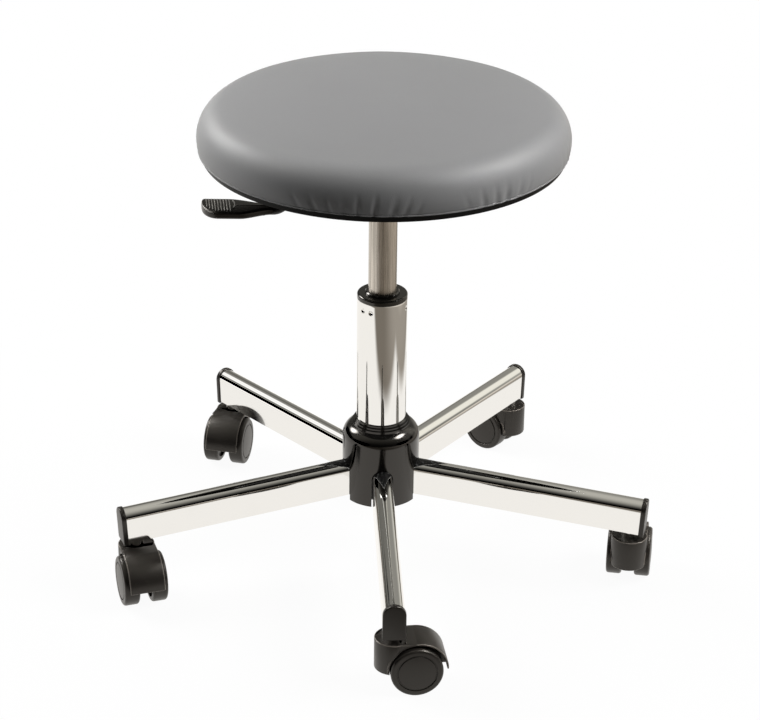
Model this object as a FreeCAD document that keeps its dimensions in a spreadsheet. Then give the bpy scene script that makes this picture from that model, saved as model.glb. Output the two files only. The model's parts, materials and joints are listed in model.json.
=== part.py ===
import FreeCAD, Part
import math
import os

import Sketcher

# Round wheeled stool with a gas lift. Millimetres and degrees, +Z up.
# The origin is on the floor, on the axis of the column.

SIZES = {
    # Fits that serve the whole stool
    "running_fit": 0.05,
    "press_fit": 0.02,
    "body_gap": 0.4,
    "overrun": 6.0,
    # Legs: arch-topped tubes that fall a little from the hub to their ends
    "first_leg_angle": -87.0,
    "leg_width": 20.0,
    "leg_height": 35.0,
    "leg_wall": 1.5,
    "leg_reach": 270.7,
    "leg_stand": 6.93,
    "leg_slope_angle": 2.8,
    # End caps
    "cap_thickness": 5.0,
    "cap_edge_round": 1.2,
    "cap_overhang": 1.1,
    "cap_drop": 2.1,
    "cap_plug": 2.5,
    # Hub sleeve, weld collars and hub cover
    "hub_wall": 3.5,
    "hub_below": 0.2,
    "hub_height": 44.0,
    "weld_size": 2.0,
    "weld_reach": 2.8,
    "cover_room": 10.28,
    "cover_wall": 2.5,
    "cover_hem": 6.0,
    "cover_headroom": 15.0,
    "cover_dome_radius": 14.0,
    "cover_neck_wall": 4.5,
    "cover_step_height": 2.4,
    "cover_step_width": 1.5,
    "cover_slot_gap": 0.8,
    # Column tube and guide bush
    "tube_radius": 25.0,
    "tube_wall": 2.0,
    "tube_length": 211.0,
    "tube_taper_length": 80.0,
    "tube_taper_draw": 0.8,
    "tube_floor": 4.0,
    "bush_length": 65.0,
    "collar_height": 5.0,
    "collar_round": 1.8,
    "collar_lip_width": 3.0,
    "collar_lip_height": 2.4,
    # Gas lift
    "cylinder_radius": 14.0,
    "cylinder_wall": 2.0,
    "cylinder_length": 221.0,
    "cylinder_plug": 12.0,
    "rod_radius": 5.0,
    "rod_foot_radius": 4.0,
    "rod_foot_drop": 5.0,
    "piston_height": 12.0,
    "piston_stand": 58.0,
    "clip_radius": 8.0,
    "clip_thickness": 1.0,
    "bearing_radius": 14.0,
    "washer_thickness": 2.0,
    "ball_radius": 2.5,
    "ball_circle": 9.0,
    "bump_stop_radius": 11.0,
    "bump_stop_height": 18.0,
    "valve_pin_radius": 4.0,
    "valve_tip_radius": 1.5,
    "valve_tip_height": 2.0,
    "valve_pin_length": 15.0,
    # Casters: the trail runs from the stem to the axle
    "stem_inset": 11.7,
    "stem_neck_radius": 4.0,
    "stem_neck_length": 20.0,
    "stem_collar_radius": 8.0,
    "socket_side_gap": 1.5,
    "socket_wall": 1.45,
    "socket_length": 25.0,
    "socket_stand": 0.6,
    "caster_trail": 20.0,
    "caster_angle_front": 8.0,
    "caster_angle_right": 81.0,
    "caster_angle_right_back": 140.0,
    "caster_angle_left_back": -103.0,
    "caster_angle_left": -72.0,
    "wheel_radius": 25.0,
    "wheel_inner_face": 6.4,
    "wheel_width": 15.4,
    "wheel_round": 3.0,
    "wheel_groove_inset": 5.0,
    "wheel_groove_width": 1.4,
    "wheel_groove_depth": 1.0,
    "wheel_cap_radius": 7.0,
    "wheel_cap_rise": 0.8,
    "axle_radius": 3.0,
    "axle_cover": 3.0,
    "hood_side_set": 0.5,
    "hood_wall": 1.8,
    "hood_nose_radius": 18.0,
    "hood_nose_rise": 3.0,
    "hood_wheel_gap": 2.2,
    "hood_top_round": 3.0,
    "hood_web_radius": 12.0,
    # Seat plate and taper socket
    "pan_height": 436.0,
    "plate_width": 160.0,
    "plate_thickness": 2.5,
    "plate_corner_radius": 20.0,
    "dish_depth": 26.0,
    "dish_floor_radius": 38.0,
    "dish_flare": 8.0,
    "taper_depth": 36.0,
    "taper_wall": 4.5,
    "taper_draw": 0.8,
    "taper_stand": 0.5,
    "ear_thickness": 3.0,
    "ear_width": 14.0,
    # Lever
    "lever_rod_radius": 4.0,
    "lever_pivot_place": 22.0,
    "lever_pivot_rise": 10.0,
    "lever_pivot_radius": 3.0,
    "lever_pivot_head": 1.6,
    "lever_boss_radius": 7.0,
    "lever_boss_length": 12.0,
    "lever_nose": 6.0,
    "lever_straight": 58.0,
    "lever_fall_run": 42.0,
    "lever_handle_drop": 49.3,
    "lever_bend_radius": 16.0,
    "lever_lift_angle": 8.0,
    "handle_neck_gap": 12.0,
    "handle_length": 65.0,
    "handle_width": 33.0,
    "handle_neck_width": 13.0,
    "handle_waist": 33.0,
    "handle_far_round": 5.0,
    "handle_near_round": 14.0,
    "handle_thickness": 7.5,
    "handle_rise": 2.05,
    "handle_round": 2.5,
    "sleeve_wall": 1.5,
    "sleeve_length": 19.0,
    "sleeve_floor": 3.0,
    # Seat
    "pan_inset": 4.9,
    "pan_floor": 2.5,
    "pan_rim_height": 6.0,
    "pan_flare": 2.8,
    "pan_rim_width": 4.0,
    "pan_ring_width": 22.0,
    "board_inset": 5.3,
    "board_thickness": 12.0,
    "seat_rise": 56.0,
    "seat_radius": 179.3,
    "seat_crown_radius": 1300.0,
    "seat_shoulder_radius": 28.0,
    "seat_draw_in": 2.0,
    "cover_thickness": 1.2,
    "cover_tuck": 18.0,
    # Seat screws and T-nuts
    "screw_inset": 10.0,
    "screw_radius": 3.0,
    "screw_head_radius": 5.5,
    "screw_head_height": 3.5,
    "screw_hole_gap": 0.3,
    "nut_wall": 1.2,
    "nut_flange_radius": 9.0,
    "nut_flange_thickness": 1.2,
}

LEG_NAMES = ("front", "right", "right_back", "left_back", "left")
BALL_COUNT = 8
SCREW_CORNERS = ((1, 1), (-1, 1), (-1, -1), (1, -1))

doc = FreeCAD.newDocument("wheeled_stool")
sheet = doc.addObject("Spreadsheet::Sheet", "Sizes")
for row, (alias, number) in enumerate(SIZES.items(), start=1):
    sheet.set("A%d" % row, alias)
    sheet.set("B%d" % row, str(number))
    sheet.setAlias("B%d" % row, alias)
doc.recompute()


class Size:
    """A number together with the sheet expression that gives it."""

    def __init__(self, number, text):
        self.number = number
        self.text = text

    def __float__(self):
        return float(self.number)

    def __add__(self, other):
        other = size(other)
        return Size(self.number + other.number, "(%s + %s)" % (self.text, other.text))

    def __sub__(self, other):
        other = size(other)
        return Size(self.number - other.number, "(%s - %s)" % (self.text, other.text))

    def __mul__(self, other):
        other = size(other)
        return Size(self.number * other.number, "(%s * %s)" % (self.text, other.text))

    def __truediv__(self, other):
        other = size(other)
        return Size(self.number / other.number, "(%s / %s)" % (self.text, other.text))

    def __neg__(self):
        return Size(-self.number, "(0 - %s)" % self.text)

    def __radd__(self, other):
        return size(other) + self

    def __rsub__(self, other):
        return size(other) - self

    def __rmul__(self, other):
        return size(other) * self


def size(value):
    """A plain number as a Size."""
    return value if isinstance(value, Size) else Size(value, repr(value))


def root(value):
    return Size(math.sqrt(value.number), "sqrt(%s)" % value.text)


def sine(degrees):
    return Size(math.sin(math.radians(degrees.number)), "sin(%s * 1 deg)" % degrees.text)


def cosine(degrees):
    return Size(math.cos(math.radians(degrees.number)), "cos(%s * 1 deg)" % degrees.text)


def slope_of(degrees):
    return sine(degrees) / cosine(degrees)


class Sheet:
    """Reads a cell of the sheet by its alias."""

    def __getattr__(self, alias):
        return Size(float(sheet.get(alias)), "Sizes.%s" % alias)


S = Sheet()


# Building blocks

def turned(axis, degrees):
    """Expression of a turn about X, Y or Z."""
    unit = {"X": "vector(1; 0; 0)", "Y": "vector(0; 1; 0)", "Z": "vector(0; 0; 1)"}[axis]
    return "rotation(%s; %s)" % (unit, size(degrees).text)


def place(thing, across, along, up, *turns):
    """Binds a piece's Placement to sizes: its base point, then its turns from the outermost in."""
    base = "vector(%s; %s; %s)" % (size(across).text, size(along).text, size(up).text)
    turn = " * ".join(turns) if turns else turned("Z", 0)
    thing.setExpression("Placement", "placement(%s; %s)" % (base, turn))


def bind(thing, **sizes):
    for prop, value in sizes.items():
        thing.setExpression(prop, size(value).text)


def new_body(label):
    body = doc.addObject("PartDesign::Body", label)
    body.Label = label
    return body


def arc_through(start, end, radius):
    """Counter-clockwise arc of under a half circle, with its centre left of start to end."""
    middle = (start + end) * 0.5
    chord = end - start
    left = FreeCAD.Vector(-chord.y, chord.x, 0).normalize()
    rise = math.sqrt(radius * radius - (chord.Length / 2) ** 2)
    centre = middle + left * rise
    angles = [math.atan2(point.y - centre.y, point.x - centre.x) for point in (start, end)]
    circle = Part.Circle(centre, FreeCAD.Vector(0, 0, 1), radius)
    return Part.ArcOfCircle(circle, angles[0], angles[1])


def fix_corner(sketch, end, axis, value):
    """Holds one coordinate of a corner at a size of the sheet."""
    kind, reference = {"across": ("DistanceX", -2), "up": ("DistanceY", -1)}[axis]
    if not isinstance(value, Size):
        sketch.addConstraint(Sketcher.Constraint("PointOnObject", end[0], end[1], reference))
        return
    index = sketch.addConstraint(Sketcher.Constraint(kind, -1, 1, end[0], end[1], float(value)))
    sketch.setExpression("Constraints[%d]" % index, value.text)


def draw(body, plane, corners, closed=True):
    """Sketch of an outline. A corner is (across, up), and a third value is the radius of the arc to
    the next corner: above zero it turns left, below zero right. A plain 0 lies on the axis."""
    sketch = body.newObject("Sketcher::SketchObject", body.Name + "Outline")
    support = [item for item in body.Origin.OriginFeatures if item.Role == plane]
    sketch.AttachmentSupport = [(support[0], "")]
    sketch.MapMode = "FlatFace"
    points = [FreeCAD.Vector(float(corner[0]), float(corner[1]), 0) for corner in corners]
    runs = len(corners) if closed else len(corners) - 1
    ends = []
    for k in range(runs):
        start, end = points[k], points[(k + 1) % len(points)]
        radius = corners[k][2] if len(corners[k]) > 2 else None
        if radius is None:
            sketch.addGeometry(Part.LineSegment(start, end))
            ends.append(((k, 1), (k, 2)))
        elif radius.number > 0:
            sketch.addGeometry(arc_through(start, end, radius.number))
            ends.append(((k, 1), (k, 2)))
        else:
            sketch.addGeometry(arc_through(end, start, -radius.number))
            ends.append(((k, 2), (k, 1)))
    for k in range(runs if closed else runs - 1):
        here, there = ends[k][1], ends[(k + 1) % runs][0]
        sketch.addConstraint(Sketcher.Constraint("Coincident", *here, *there))
    for k, corner in enumerate(corners):
        end = ends[k][0] if k < runs else ends[k - 1][1]
        fix_corner(sketch, end, "across", corner[0])
        fix_corner(sketch, end, "up", corner[1])
        if len(corner) > 2:
            radius = corner[2] if corner[2].number > 0 else -corner[2]
            index = sketch.addConstraint(Sketcher.Constraint("Radius", k, radius.number))
            sketch.setExpression("Constraints[%d]" % index, radius.text)
    return sketch


def circle_sketch(body, plane, across, up, radius):
    sketch = body.newObject("Sketcher::SketchObject", body.Name + "Circle")
    support = [item for item in body.Origin.OriginFeatures if item.Role == plane]
    sketch.AttachmentSupport = [(support[0], "")]
    sketch.MapMode = "FlatFace"
    centre = FreeCAD.Vector(float(across), float(up), 0)
    sketch.addGeometry(Part.Circle(centre, FreeCAD.Vector(0, 0, 1), float(radius)))
    fix_corner(sketch, (0, 3), "across", across)
    fix_corner(sketch, (0, 3), "up", up)
    index = sketch.addConstraint(Sketcher.Constraint("Radius", 0, float(radius)))
    sketch.setExpression("Constraints[%d]" % index, radius.text)
    return sketch


def revolve(body, corners):
    """Turns an outline, drawn as radius and height, about the body's Z axis."""
    feature = body.newObject("PartDesign::Revolution", body.Name + "Turned")
    sketch = draw(body, "XZ_Plane", corners)
    feature.Profile = sketch
    feature.ReferenceAxis = (sketch, ["V_Axis"])
    feature.Angle = 360
    body.Tip = feature
    return feature


def groove(body, corners):
    feature = body.newObject("PartDesign::Groove", body.Name + "Groove")
    sketch = draw(body, "XZ_Plane", corners)
    feature.Profile = sketch
    feature.ReferenceAxis = (sketch, ["V_Axis"])
    feature.Angle = 360
    body.Tip = feature
    return feature


def extrude(body, sketch, kind, length, reverse=False, symmetric=False, start=None):
    """Pad or Pocket of a sketch; start moves the sketch along its own normal first."""
    feature = body.newObject("PartDesign::%s" % kind, body.Name + kind)
    feature.Profile = sketch
    feature.Reversed = reverse
    if symmetric:
        feature.SideType = "Symmetric"
    bind(feature, Length=length)
    if start is not None:
        sketch.setExpression("AttachmentOffset.Base.z", size(start).text)
    body.Tip = feature
    return feature


def cylinder(name, radius, height, up, across=0, along=0):
    thing = doc.addObject("Part::Cylinder", name)
    bind(thing, Radius=radius, Height=height)
    place(thing, across, along, up)
    return thing


def cross_cylinder(name, radius, length, across, up, *turns):
    """Cylinder along Y, centred on the XZ plane before its turns."""
    thing = doc.addObject("Part::Cylinder", name)
    bind(thing, Radius=radius, Height=length)
    place(thing, across, length / 2, up, *turns, turned("X", 90))
    return thing


def box(name, length, width, height, across, along, up):
    thing = doc.addObject("Part::Box", name)
    bind(thing, Length=length, Width=width, Height=height)
    place(thing, across, along, up)
    return thing


def joined(label, kind, base, tool):
    """Cut, Fuse or Common of two shapes under a piece's own name."""
    thing = doc.addObject("Part::%s" % kind, label)
    thing.Base = base
    thing.Tool = tool
    thing.Label = label
    return thing


def gathered(label, pieces):
    """One node of separate solids."""
    thing = doc.addObject("Part::Compound", label)
    thing.Links = pieces
    thing.Label = label
    return thing


nodes = []


def keep(thing):
    nodes.append(thing)
    return thing


# Derived sizes that several pieces share

def leg_turn(k):
    return S.first_leg_angle + size(k) * 360 / len(LEG_NAMES)


def caster_turn(name):
    return getattr(S, "caster_angle_" + name)


hub_radius = S.tube_radius + S.press_fit + S.hub_wall
hood_height = 2 * S.wheel_radius + S.hood_wheel_gap + S.hood_wall
hood_half_width = S.hood_nose_radius - S.hood_side_set
hood_nose_bottom = S.wheel_radius - S.hood_nose_rise
wheel_groove_place = S.wheel_radius - S.wheel_round - S.wheel_groove_inset
stem_place = S.leg_reach - S.stem_inset
leg_length = S.leg_reach / cosine(S.leg_slope_angle)
leg_depth = S.leg_height / cosine(S.leg_slope_angle)
leg_bottom_at_stem = hood_height + S.leg_stand
leg_end_height = leg_bottom_at_stem + leg_depth - S.stem_inset * slope_of(S.leg_slope_angle)
leg_top_at_hub = leg_end_height + (S.leg_reach - hub_radius) * slope_of(S.leg_slope_angle)
socket_bottom = leg_bottom_at_stem - S.socket_stand
socket_radius = S.leg_width / 2 - S.leg_wall - S.socket_side_gap
stem_radius = socket_radius - S.socket_wall - S.running_fit
hub_bottom = leg_top_at_hub - leg_depth - S.hub_below
hub_top = hub_bottom + S.hub_height
cover_radius = hub_radius + S.cover_room
cover_neck_radius = S.tube_radius + S.cover_neck_wall
cover_bottom = hub_bottom - S.cover_hem
cover_dome_start = hub_top + S.cover_headroom
tube_bottom = hub_bottom
tube_top = tube_bottom + S.tube_length
tube_taper_top = tube_bottom + S.tube_taper_length
bearing_seat = tube_bottom + S.tube_floor
balls_bottom = bearing_seat + S.washer_thickness
upper_washer_bottom = balls_bottom + 2 * S.ball_radius
rod_shoulder = upper_washer_bottom + S.washer_thickness
plate_bottom = S.pan_height - S.plate_thickness
dish_bottom = S.pan_height - S.dish_depth
dish_floor_top = dish_bottom + S.plate_thickness
dish_rim_radius = S.dish_floor_radius + S.dish_flare
taper_bottom = dish_bottom - S.taper_depth
taper_top_radius = S.cylinder_radius - S.taper_draw
cylinder_top = dish_floor_top + S.taper_stand
cylinder_bottom = cylinder_top - S.cylinder_length
piston_place = cylinder_bottom + S.cylinder_plug + S.piston_stand
lever_pivot_height = dish_floor_top + S.lever_pivot_rise
lever_handle_height = lever_pivot_height - S.lever_handle_drop
lever_elbow_place = S.lever_straight + S.lever_fall_run
handle_neck_place = lever_elbow_place + S.handle_neck_gap
handle_tip_place = handle_neck_place + S.handle_length
valve_pin_top = lever_pivot_height - S.lever_rod_radius - S.body_gap
pan_radius = S.seat_radius - S.pan_inset
board_radius = S.seat_radius - S.board_inset
seat_top = S.pan_height + S.seat_rise
tuck_bottom = S.pan_height + S.pan_rim_height
board_bottom = tuck_bottom + S.cover_thickness
board_top = board_bottom + S.board_thickness
screw_place = S.plate_width / 2 - S.screw_inset
screw_circle = screw_place * root(size(2))
screw_hole_radius = S.screw_radius + S.screw_hole_gap
nut_radius = S.screw_radius + S.press_fit + S.nut_wall


# Base

def leg_section(grow, drop):
    """Arch-topped section, seen along the leg, with its top line at zero; grow widens it all round."""
    half = S.leg_width / 2 + grow
    spring = -S.leg_width / 2
    bottom = -S.leg_height - drop
    crown = grow if isinstance(grow, Size) else 0
    return [(-half, bottom), (half, bottom), (half, spring, half), (0, crown, half), (-half, spring)]


def leg_frame(thing, k):
    """Stands a piece that is drawn along a leg at the leg's outer end."""
    turn = leg_turn(k)
    place(thing, S.leg_reach * cosine(turn), S.leg_reach * sine(turn), leg_end_height,
          turned("Z", turn), turned("Y", S.leg_slope_angle))


def stem_point(k):
    turn = leg_turn(k)
    return stem_place * cosine(turn), stem_place * sine(turn)


def make_leg(k, name):
    tube = new_body("leg_tube_" + name)
    extrude(tube, draw(tube, "YZ_Plane", leg_section(0, 0)), "Pad", leg_length, reverse=True)
    inside = draw(tube, "YZ_Plane", leg_section(-S.leg_wall, -S.leg_wall))
    extrude(tube, inside, "Pocket", leg_length + S.overrun)
    leg_frame(tube, k)
    hub_space = cylinder("hub_space_" + name, hub_radius + S.press_fit, tube_top, 0)
    across, along = stem_point(k)
    hole = cylinder("socket_hole_" + name, socket_radius + S.press_fit, S.leg_height / 2,
                    socket_bottom - S.overrun, across, along)
    trimmed = joined("leg_trimmed_" + name, "Cut", tube, hub_space)
    keep(joined("leg_" + name, "Cut", trimmed, hole))


def make_end_cap(k, name):
    cap = new_body("end_cap_" + name)
    face = draw(cap, "YZ_Plane", leg_section(S.cap_overhang, S.cap_drop))
    flange = extrude(cap, face, "Pad", S.cap_thickness)
    doc.recompute()
    outer = [edge for edge, line in enumerate(flange.Shape.Edges, start=1)
             if line.BoundBox.XMin > float(S.cap_thickness) / 2]
    rounding = cap.newObject("PartDesign::Fillet", cap.Name + "Round")
    rounding.Base = (flange, ["Edge%d" % edge for edge in outer])
    bind(rounding, Radius=S.cap_edge_round)
    fit = -(S.leg_wall + S.press_fit)
    plug = draw(cap, "YZ_Plane", leg_section(fit, fit))
    extrude(cap, plug, "Pad", S.cap_plug, reverse=True)
    leg_frame(cap, k)
    keep(cap)


def make_socket(k, name):
    across, along = stem_point(k)
    bore = stem_radius + S.running_fit
    outside = cylinder("socket_body_" + name, socket_radius, S.socket_length, socket_bottom, across, along)
    inside = cylinder("socket_bore_" + name, bore, S.socket_length + 2 * S.overrun,
                      socket_bottom - S.overrun, across, along)
    return joined("stem_socket_" + name, "Cut", outside, inside)


def make_weld(k, name):
    """Collar round the inner end of a leg, against the hub sleeve."""
    outside = new_body("weld_body_" + name)
    inward = leg_length - (hub_radius + S.weld_reach) / cosine(S.leg_slope_angle)
    sketch = draw(outside, "YZ_Plane", leg_section(S.weld_size, S.weld_size))
    extrude(outside, sketch, "Pad", leg_length - inward, reverse=True, start=-inward)
    space = draw(outside, "YZ_Plane", leg_section(0, 0))
    extrude(outside, space, "Pocket", leg_length + S.overrun)
    leg_frame(outside, k)
    hub_space = cylinder("weld_hub_space_" + name, hub_radius, tube_top, 0)
    return joined("leg_weld_" + name, "Cut", outside, hub_space)


def tube_outside(up):
    """Outer radius of the column tube at a height on its taper."""
    fall = (tube_taper_top - up) / (tube_taper_top - tube_bottom)
    return S.tube_radius - S.tube_taper_draw * fall


def make_hub():
    """Sleeve that the legs are welded to and the tube's taper sits in."""
    hub = new_body("hub")
    revolve(hub, [(tube_outside(hub_bottom) + S.press_fit, hub_bottom), (hub_radius, hub_bottom),
                  (hub_radius, hub_top), (tube_outside(hub_top) + S.press_fit, hub_top)])
    keep(hub)


def make_hub_cover():
    """Bell over the hub: a straight skirt, a rounded shoulder and a stepped neck round the tube."""
    cover = new_body("hub_cover")
    bore = S.tube_radius + S.running_fit
    centre = cover_radius - S.cover_dome_radius
    neck = cover_neck_radius
    neck_rise = root(S.cover_dome_radius * S.cover_dome_radius - (neck - centre) * (neck - centre))
    neck_foot = cover_dome_start + neck_rise
    inner_radius = S.cover_dome_radius - S.cover_wall
    inner_rise = root(inner_radius * inner_radius - (bore - centre) * (bore - centre))
    steps = []
    for step in range(3):
        radius = neck - step * S.cover_step_width
        steps += [(radius, neck_foot + step * S.cover_step_height),
                  (radius, neck_foot + (step + 1) * S.cover_step_height)]
    skirt = [(cover_radius - S.cover_wall, cover_bottom), (cover_radius, cover_bottom),
             (cover_radius, cover_dome_start, S.cover_dome_radius)]
    inside = [(bore, neck_foot + 3 * S.cover_step_height),
              (bore, cover_dome_start + inner_rise, -inner_radius),
              (cover_radius - S.cover_wall, cover_dome_start)]
    revolve(cover, skirt + steps + inside)
    half = S.leg_width / 2 + S.cover_slot_gap
    leg_top = leg_end_height + (S.leg_reach - cover_radius) * slope_of(S.leg_slope_angle)
    arch_top = leg_top + S.cover_slot_gap
    floor = cover_bottom - S.overrun
    slot = draw(cover, "YZ_Plane", [(-half, floor), (half, floor), (half, arch_top - half, half),
                                    (0, arch_top, half), (-half, arch_top - half)])
    cut = extrude(cover, slot, "Pocket", cover_radius + S.overrun, reverse=True)
    pattern = cover.newObject("PartDesign::PolarPattern", "hub_cover_slots")
    pattern.Originals = [cut]
    pattern.Axis = (slot, ["V_Axis"])
    pattern.Angle = 360
    pattern.Occurrences = len(LEG_NAMES)
    cover.Tip = pattern
    place(cover, 0, 0, 0, turned("Z", S.first_leg_angle))
    keep(cover)


def make_column_tube():
    """Chromed outer tube of the lift, tapered below and closed by the floor that the bearing sits on."""
    tube = new_body("column_tube")
    inner = S.tube_radius - S.tube_wall
    hole = S.rod_foot_radius + S.body_gap
    floor = tube_bottom + S.tube_floor
    revolve(tube, [(hole, tube_bottom), (tube_outside(tube_bottom), tube_bottom),
                   (S.tube_radius, tube_taper_top), (S.tube_radius, tube_top), (inner, tube_top),
                   (inner, floor), (hole, floor)])
    keep(tube)


def make_guide_bush():
    """Plastic guide in the tube's mouth, with the collar that covers the tube's edge."""
    bush = new_body("guide_bush")
    bore = S.cylinder_radius + S.running_fit
    outside = S.tube_radius - S.tube_wall - S.press_fit
    bottom = tube_top - S.bush_length
    collar_top = tube_top + S.collar_height
    lip = bore + S.collar_lip_width
    lip_top = collar_top + S.collar_lip_height
    revolve(bush, [(bore, bottom), (outside, bottom), (outside, tube_top), (S.tube_radius, tube_top),
                   (S.tube_radius, collar_top - S.collar_round, S.collar_round),
                   (S.tube_radius - S.collar_round, collar_top), (lip, collar_top),
                   (lip, lip_top - S.collar_lip_width / 3), (lip - S.collar_lip_width / 3, lip_top),
                   (bore, lip_top)])
    keep(bush)


# Gas lift

def make_gas_rod():
    rod = new_body("gas_rod")
    foot = tube_bottom - S.rod_foot_drop
    piston = S.cylinder_radius - S.cylinder_wall - S.running_fit
    top = piston_place + S.piston_height
    revolve(rod, [(0, foot), (S.rod_foot_radius, foot), (S.rod_foot_radius, rod_shoulder),
                  (S.rod_radius, rod_shoulder), (S.rod_radius, piston_place), (piston, piston_place),
                  (piston, top), (0, top)])
    keep(rod)


def make_ring(label, bore, radius, bottom, height):
    ring = new_body(label)
    top = bottom + height
    revolve(ring, [(bore, bottom), (radius, bottom), (radius, top), (bore, top)])
    keep(ring)


def make_bump_stop():
    """Rubber ring on the rod, with a waist."""
    stop = new_body("bump_stop")
    bore = S.rod_radius + S.press_fit
    top = rod_shoulder + S.bump_stop_height
    middle = rod_shoulder + S.bump_stop_height / 2
    waist = S.bump_stop_radius - (S.bump_stop_radius - bore) / 3
    revolve(stop, [(bore, rod_shoulder), (S.bump_stop_radius, rod_shoulder), (waist, middle),
                   (S.bump_stop_radius, top), (bore, top)])
    keep(stop)


def make_bearing():
    bore = S.rod_foot_radius + S.body_gap
    make_ring("bearing_lower_washer", bore, S.bearing_radius, bearing_seat, S.washer_thickness)
    make_ring("bearing_upper_washer", S.rod_foot_radius + S.press_fit, S.bearing_radius,
              upper_washer_bottom, S.washer_thickness)
    balls = []
    for k in range(BALL_COUNT):
        ball = doc.addObject("Part::Sphere", "bearing_ball_%d" % (k + 1))
        bind(ball, Radius=S.ball_radius - S.running_fit)
        turn = size(k) * 360 / BALL_COUNT
        place(ball, S.ball_circle * cosine(turn), S.ball_circle * sine(turn), balls_bottom + S.ball_radius)
        balls.append(ball)
    keep(gathered("bearing_balls", balls))


def make_gas_cylinder():
    """Pressure tube with its gland below and the taper that holds the seat above."""
    lift = new_body("gas_cylinder")
    inner = S.cylinder_radius - S.cylinder_wall
    gland = S.rod_radius + S.running_fit
    gland_top = cylinder_bottom + S.cylinder_plug
    valve = S.valve_pin_radius + S.running_fit
    head = taper_bottom
    revolve(lift, [(gland, cylinder_bottom), (S.cylinder_radius, cylinder_bottom),
                   (S.cylinder_radius, taper_bottom), (taper_top_radius, cylinder_top),
                   (valve, cylinder_top), (valve, head), (inner, head), (inner, gland_top),
                   (gland, gland_top)])
    keep(lift)


def make_valve_pin():
    """Release pin with a narrow tip under the lever's inner end."""
    pin = new_body("valve_pin")
    bottom = valve_pin_top - S.valve_pin_length
    shoulder = valve_pin_top - S.valve_tip_height
    revolve(pin, [(0, bottom), (S.valve_pin_radius, bottom), (S.valve_pin_radius, shoulder),
                  (S.valve_tip_radius, valve_pin_top), (0, valve_pin_top)])
    keep(pin)


# Casters

def caster_frame(thing, k, name):
    """Stands a piece that is drawn with its stem on the Z axis and its trail along X."""
    across, along = stem_point(k)
    place(thing, across, along, 0, turned("Z", caster_turn(name)))


def make_caster_hood(k, name):
    """Moulded fork and fender in one: a web between the wheels, a nose round the stem, a curved back."""
    body = new_body("hood_body_" + name)
    outer = hood_height - S.wheel_radius
    top = hood_height
    nose = -S.hood_nose_radius
    axle_across, axle_up = S.caster_trail, S.wheel_radius
    web = S.hood_web_radius
    tail = axle_across + outer
    side = draw(body, "XZ_Plane", [
        (nose, hood_nose_bottom), (axle_across - web, hood_nose_bottom - S.hood_wall),
        (axle_across - web / 2, axle_up - web), (axle_across + web / 2, axle_up - web),
        (tail - S.hood_wall, axle_up), (tail, axle_up, outer), (axle_across, top),
        (nose + S.hood_top_round, top, S.hood_top_round), (nose, top - S.hood_top_round)])
    extrude(body, side, "Pad", 2 * hood_half_width, symmetric=True)
    reach = S.hood_nose_radius + S.overrun
    half = hood_half_width
    bend = root(S.hood_nose_radius * S.hood_nose_radius - half * half)
    for way in (1, -1):
        corner = draw(body, "XY_Plane", [(nose, 0, way * S.hood_nose_radius), (-bend, -way * half),
                                         (-bend, -way * reach), (-reach, -way * reach), (-reach, 0)])
        extrude(body, corner, "Pocket", hood_height + S.overrun, reverse=True)
    caster_frame(body, k, name)
    space_radius = S.wheel_radius + S.hood_wheel_gap
    web_half = S.wheel_inner_face - S.body_gap
    spaces = []
    across, along = stem_point(k)
    turn = caster_turn(name)
    for way, word in ((1, "left"), (-1, "right")):
        space = doc.addObject("Part::Cylinder", "wheel_space_%s_%s" % (word, name))
        bind(space, Radius=space_radius, Height=hood_half_width + S.overrun)
        off = way * web_half
        place(space, across + S.caster_trail * cosine(turn) - off * sine(turn),
              along + S.caster_trail * sine(turn) + off * cosine(turn), S.wheel_radius,
              turned("Z", turn), turned("X", -90 * way))
        spaces.append(space)
    spaces.append(cross_hole("axle_hole_" + name, S.axle_radius + S.press_fit, k, name))
    neck_depth = hood_height - S.stem_neck_length
    spaces.append(cylinder("stem_hole_" + name, S.stem_neck_radius + S.press_fit,
                           S.stem_neck_length + S.overrun, neck_depth, across, along))
    tools = doc.addObject("Part::MultiFuse", "hood_spaces_" + name)
    tools.Shapes = spaces
    keep(joined("caster_hood_" + name, "Cut", body, tools))


def cross_hole(label, radius, k, name):
    """Cylinder along a caster's axle, as wide as the hood."""
    across, along = stem_point(k)
    turn = caster_turn(name)
    length = 2 * hood_half_width
    thing = doc.addObject("Part::Cylinder", label)
    bind(thing, Radius=radius, Height=length)
    place(thing, across + S.caster_trail * cosine(turn) - hood_half_width * sine(turn),
          along + S.caster_trail * sine(turn) + hood_half_width * cosine(turn), S.wheel_radius,
          turned("Z", turn), turned("X", 90))
    return thing


def make_caster_stem(k, name):
    stem = new_body("caster_stem_" + name)
    bottom = hood_height - S.stem_neck_length
    collar_top = socket_bottom - S.body_gap
    top = socket_bottom + S.socket_length
    tip = stem_radius / 3
    revolve(stem, [(0, bottom), (S.stem_neck_radius, bottom), (S.stem_neck_radius, hood_height),
                   (S.stem_collar_radius, hood_height), (S.stem_collar_radius, collar_top),
                   (stem_radius, collar_top), (stem_radius, top - tip), (stem_radius - tip, top),
                   (0, top)])
    caster_frame(stem, k, name)
    keep(stem)


def make_caster_axle(k, name):
    axle = doc.addObject("Part::Cylinder", "caster_axle_" + name)
    half = S.wheel_inner_face + S.wheel_width - S.axle_cover - S.body_gap
    bind(axle, Radius=S.axle_radius, Height=2 * half)
    across, along = stem_point(k)
    turn = caster_turn(name)
    place(axle, across + S.caster_trail * cosine(turn) - half * sine(turn),
          along + S.caster_trail * sine(turn) + half * cosine(turn), S.wheel_radius,
          turned("Z", turn), turned("X", 90))
    keep(axle)


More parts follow.
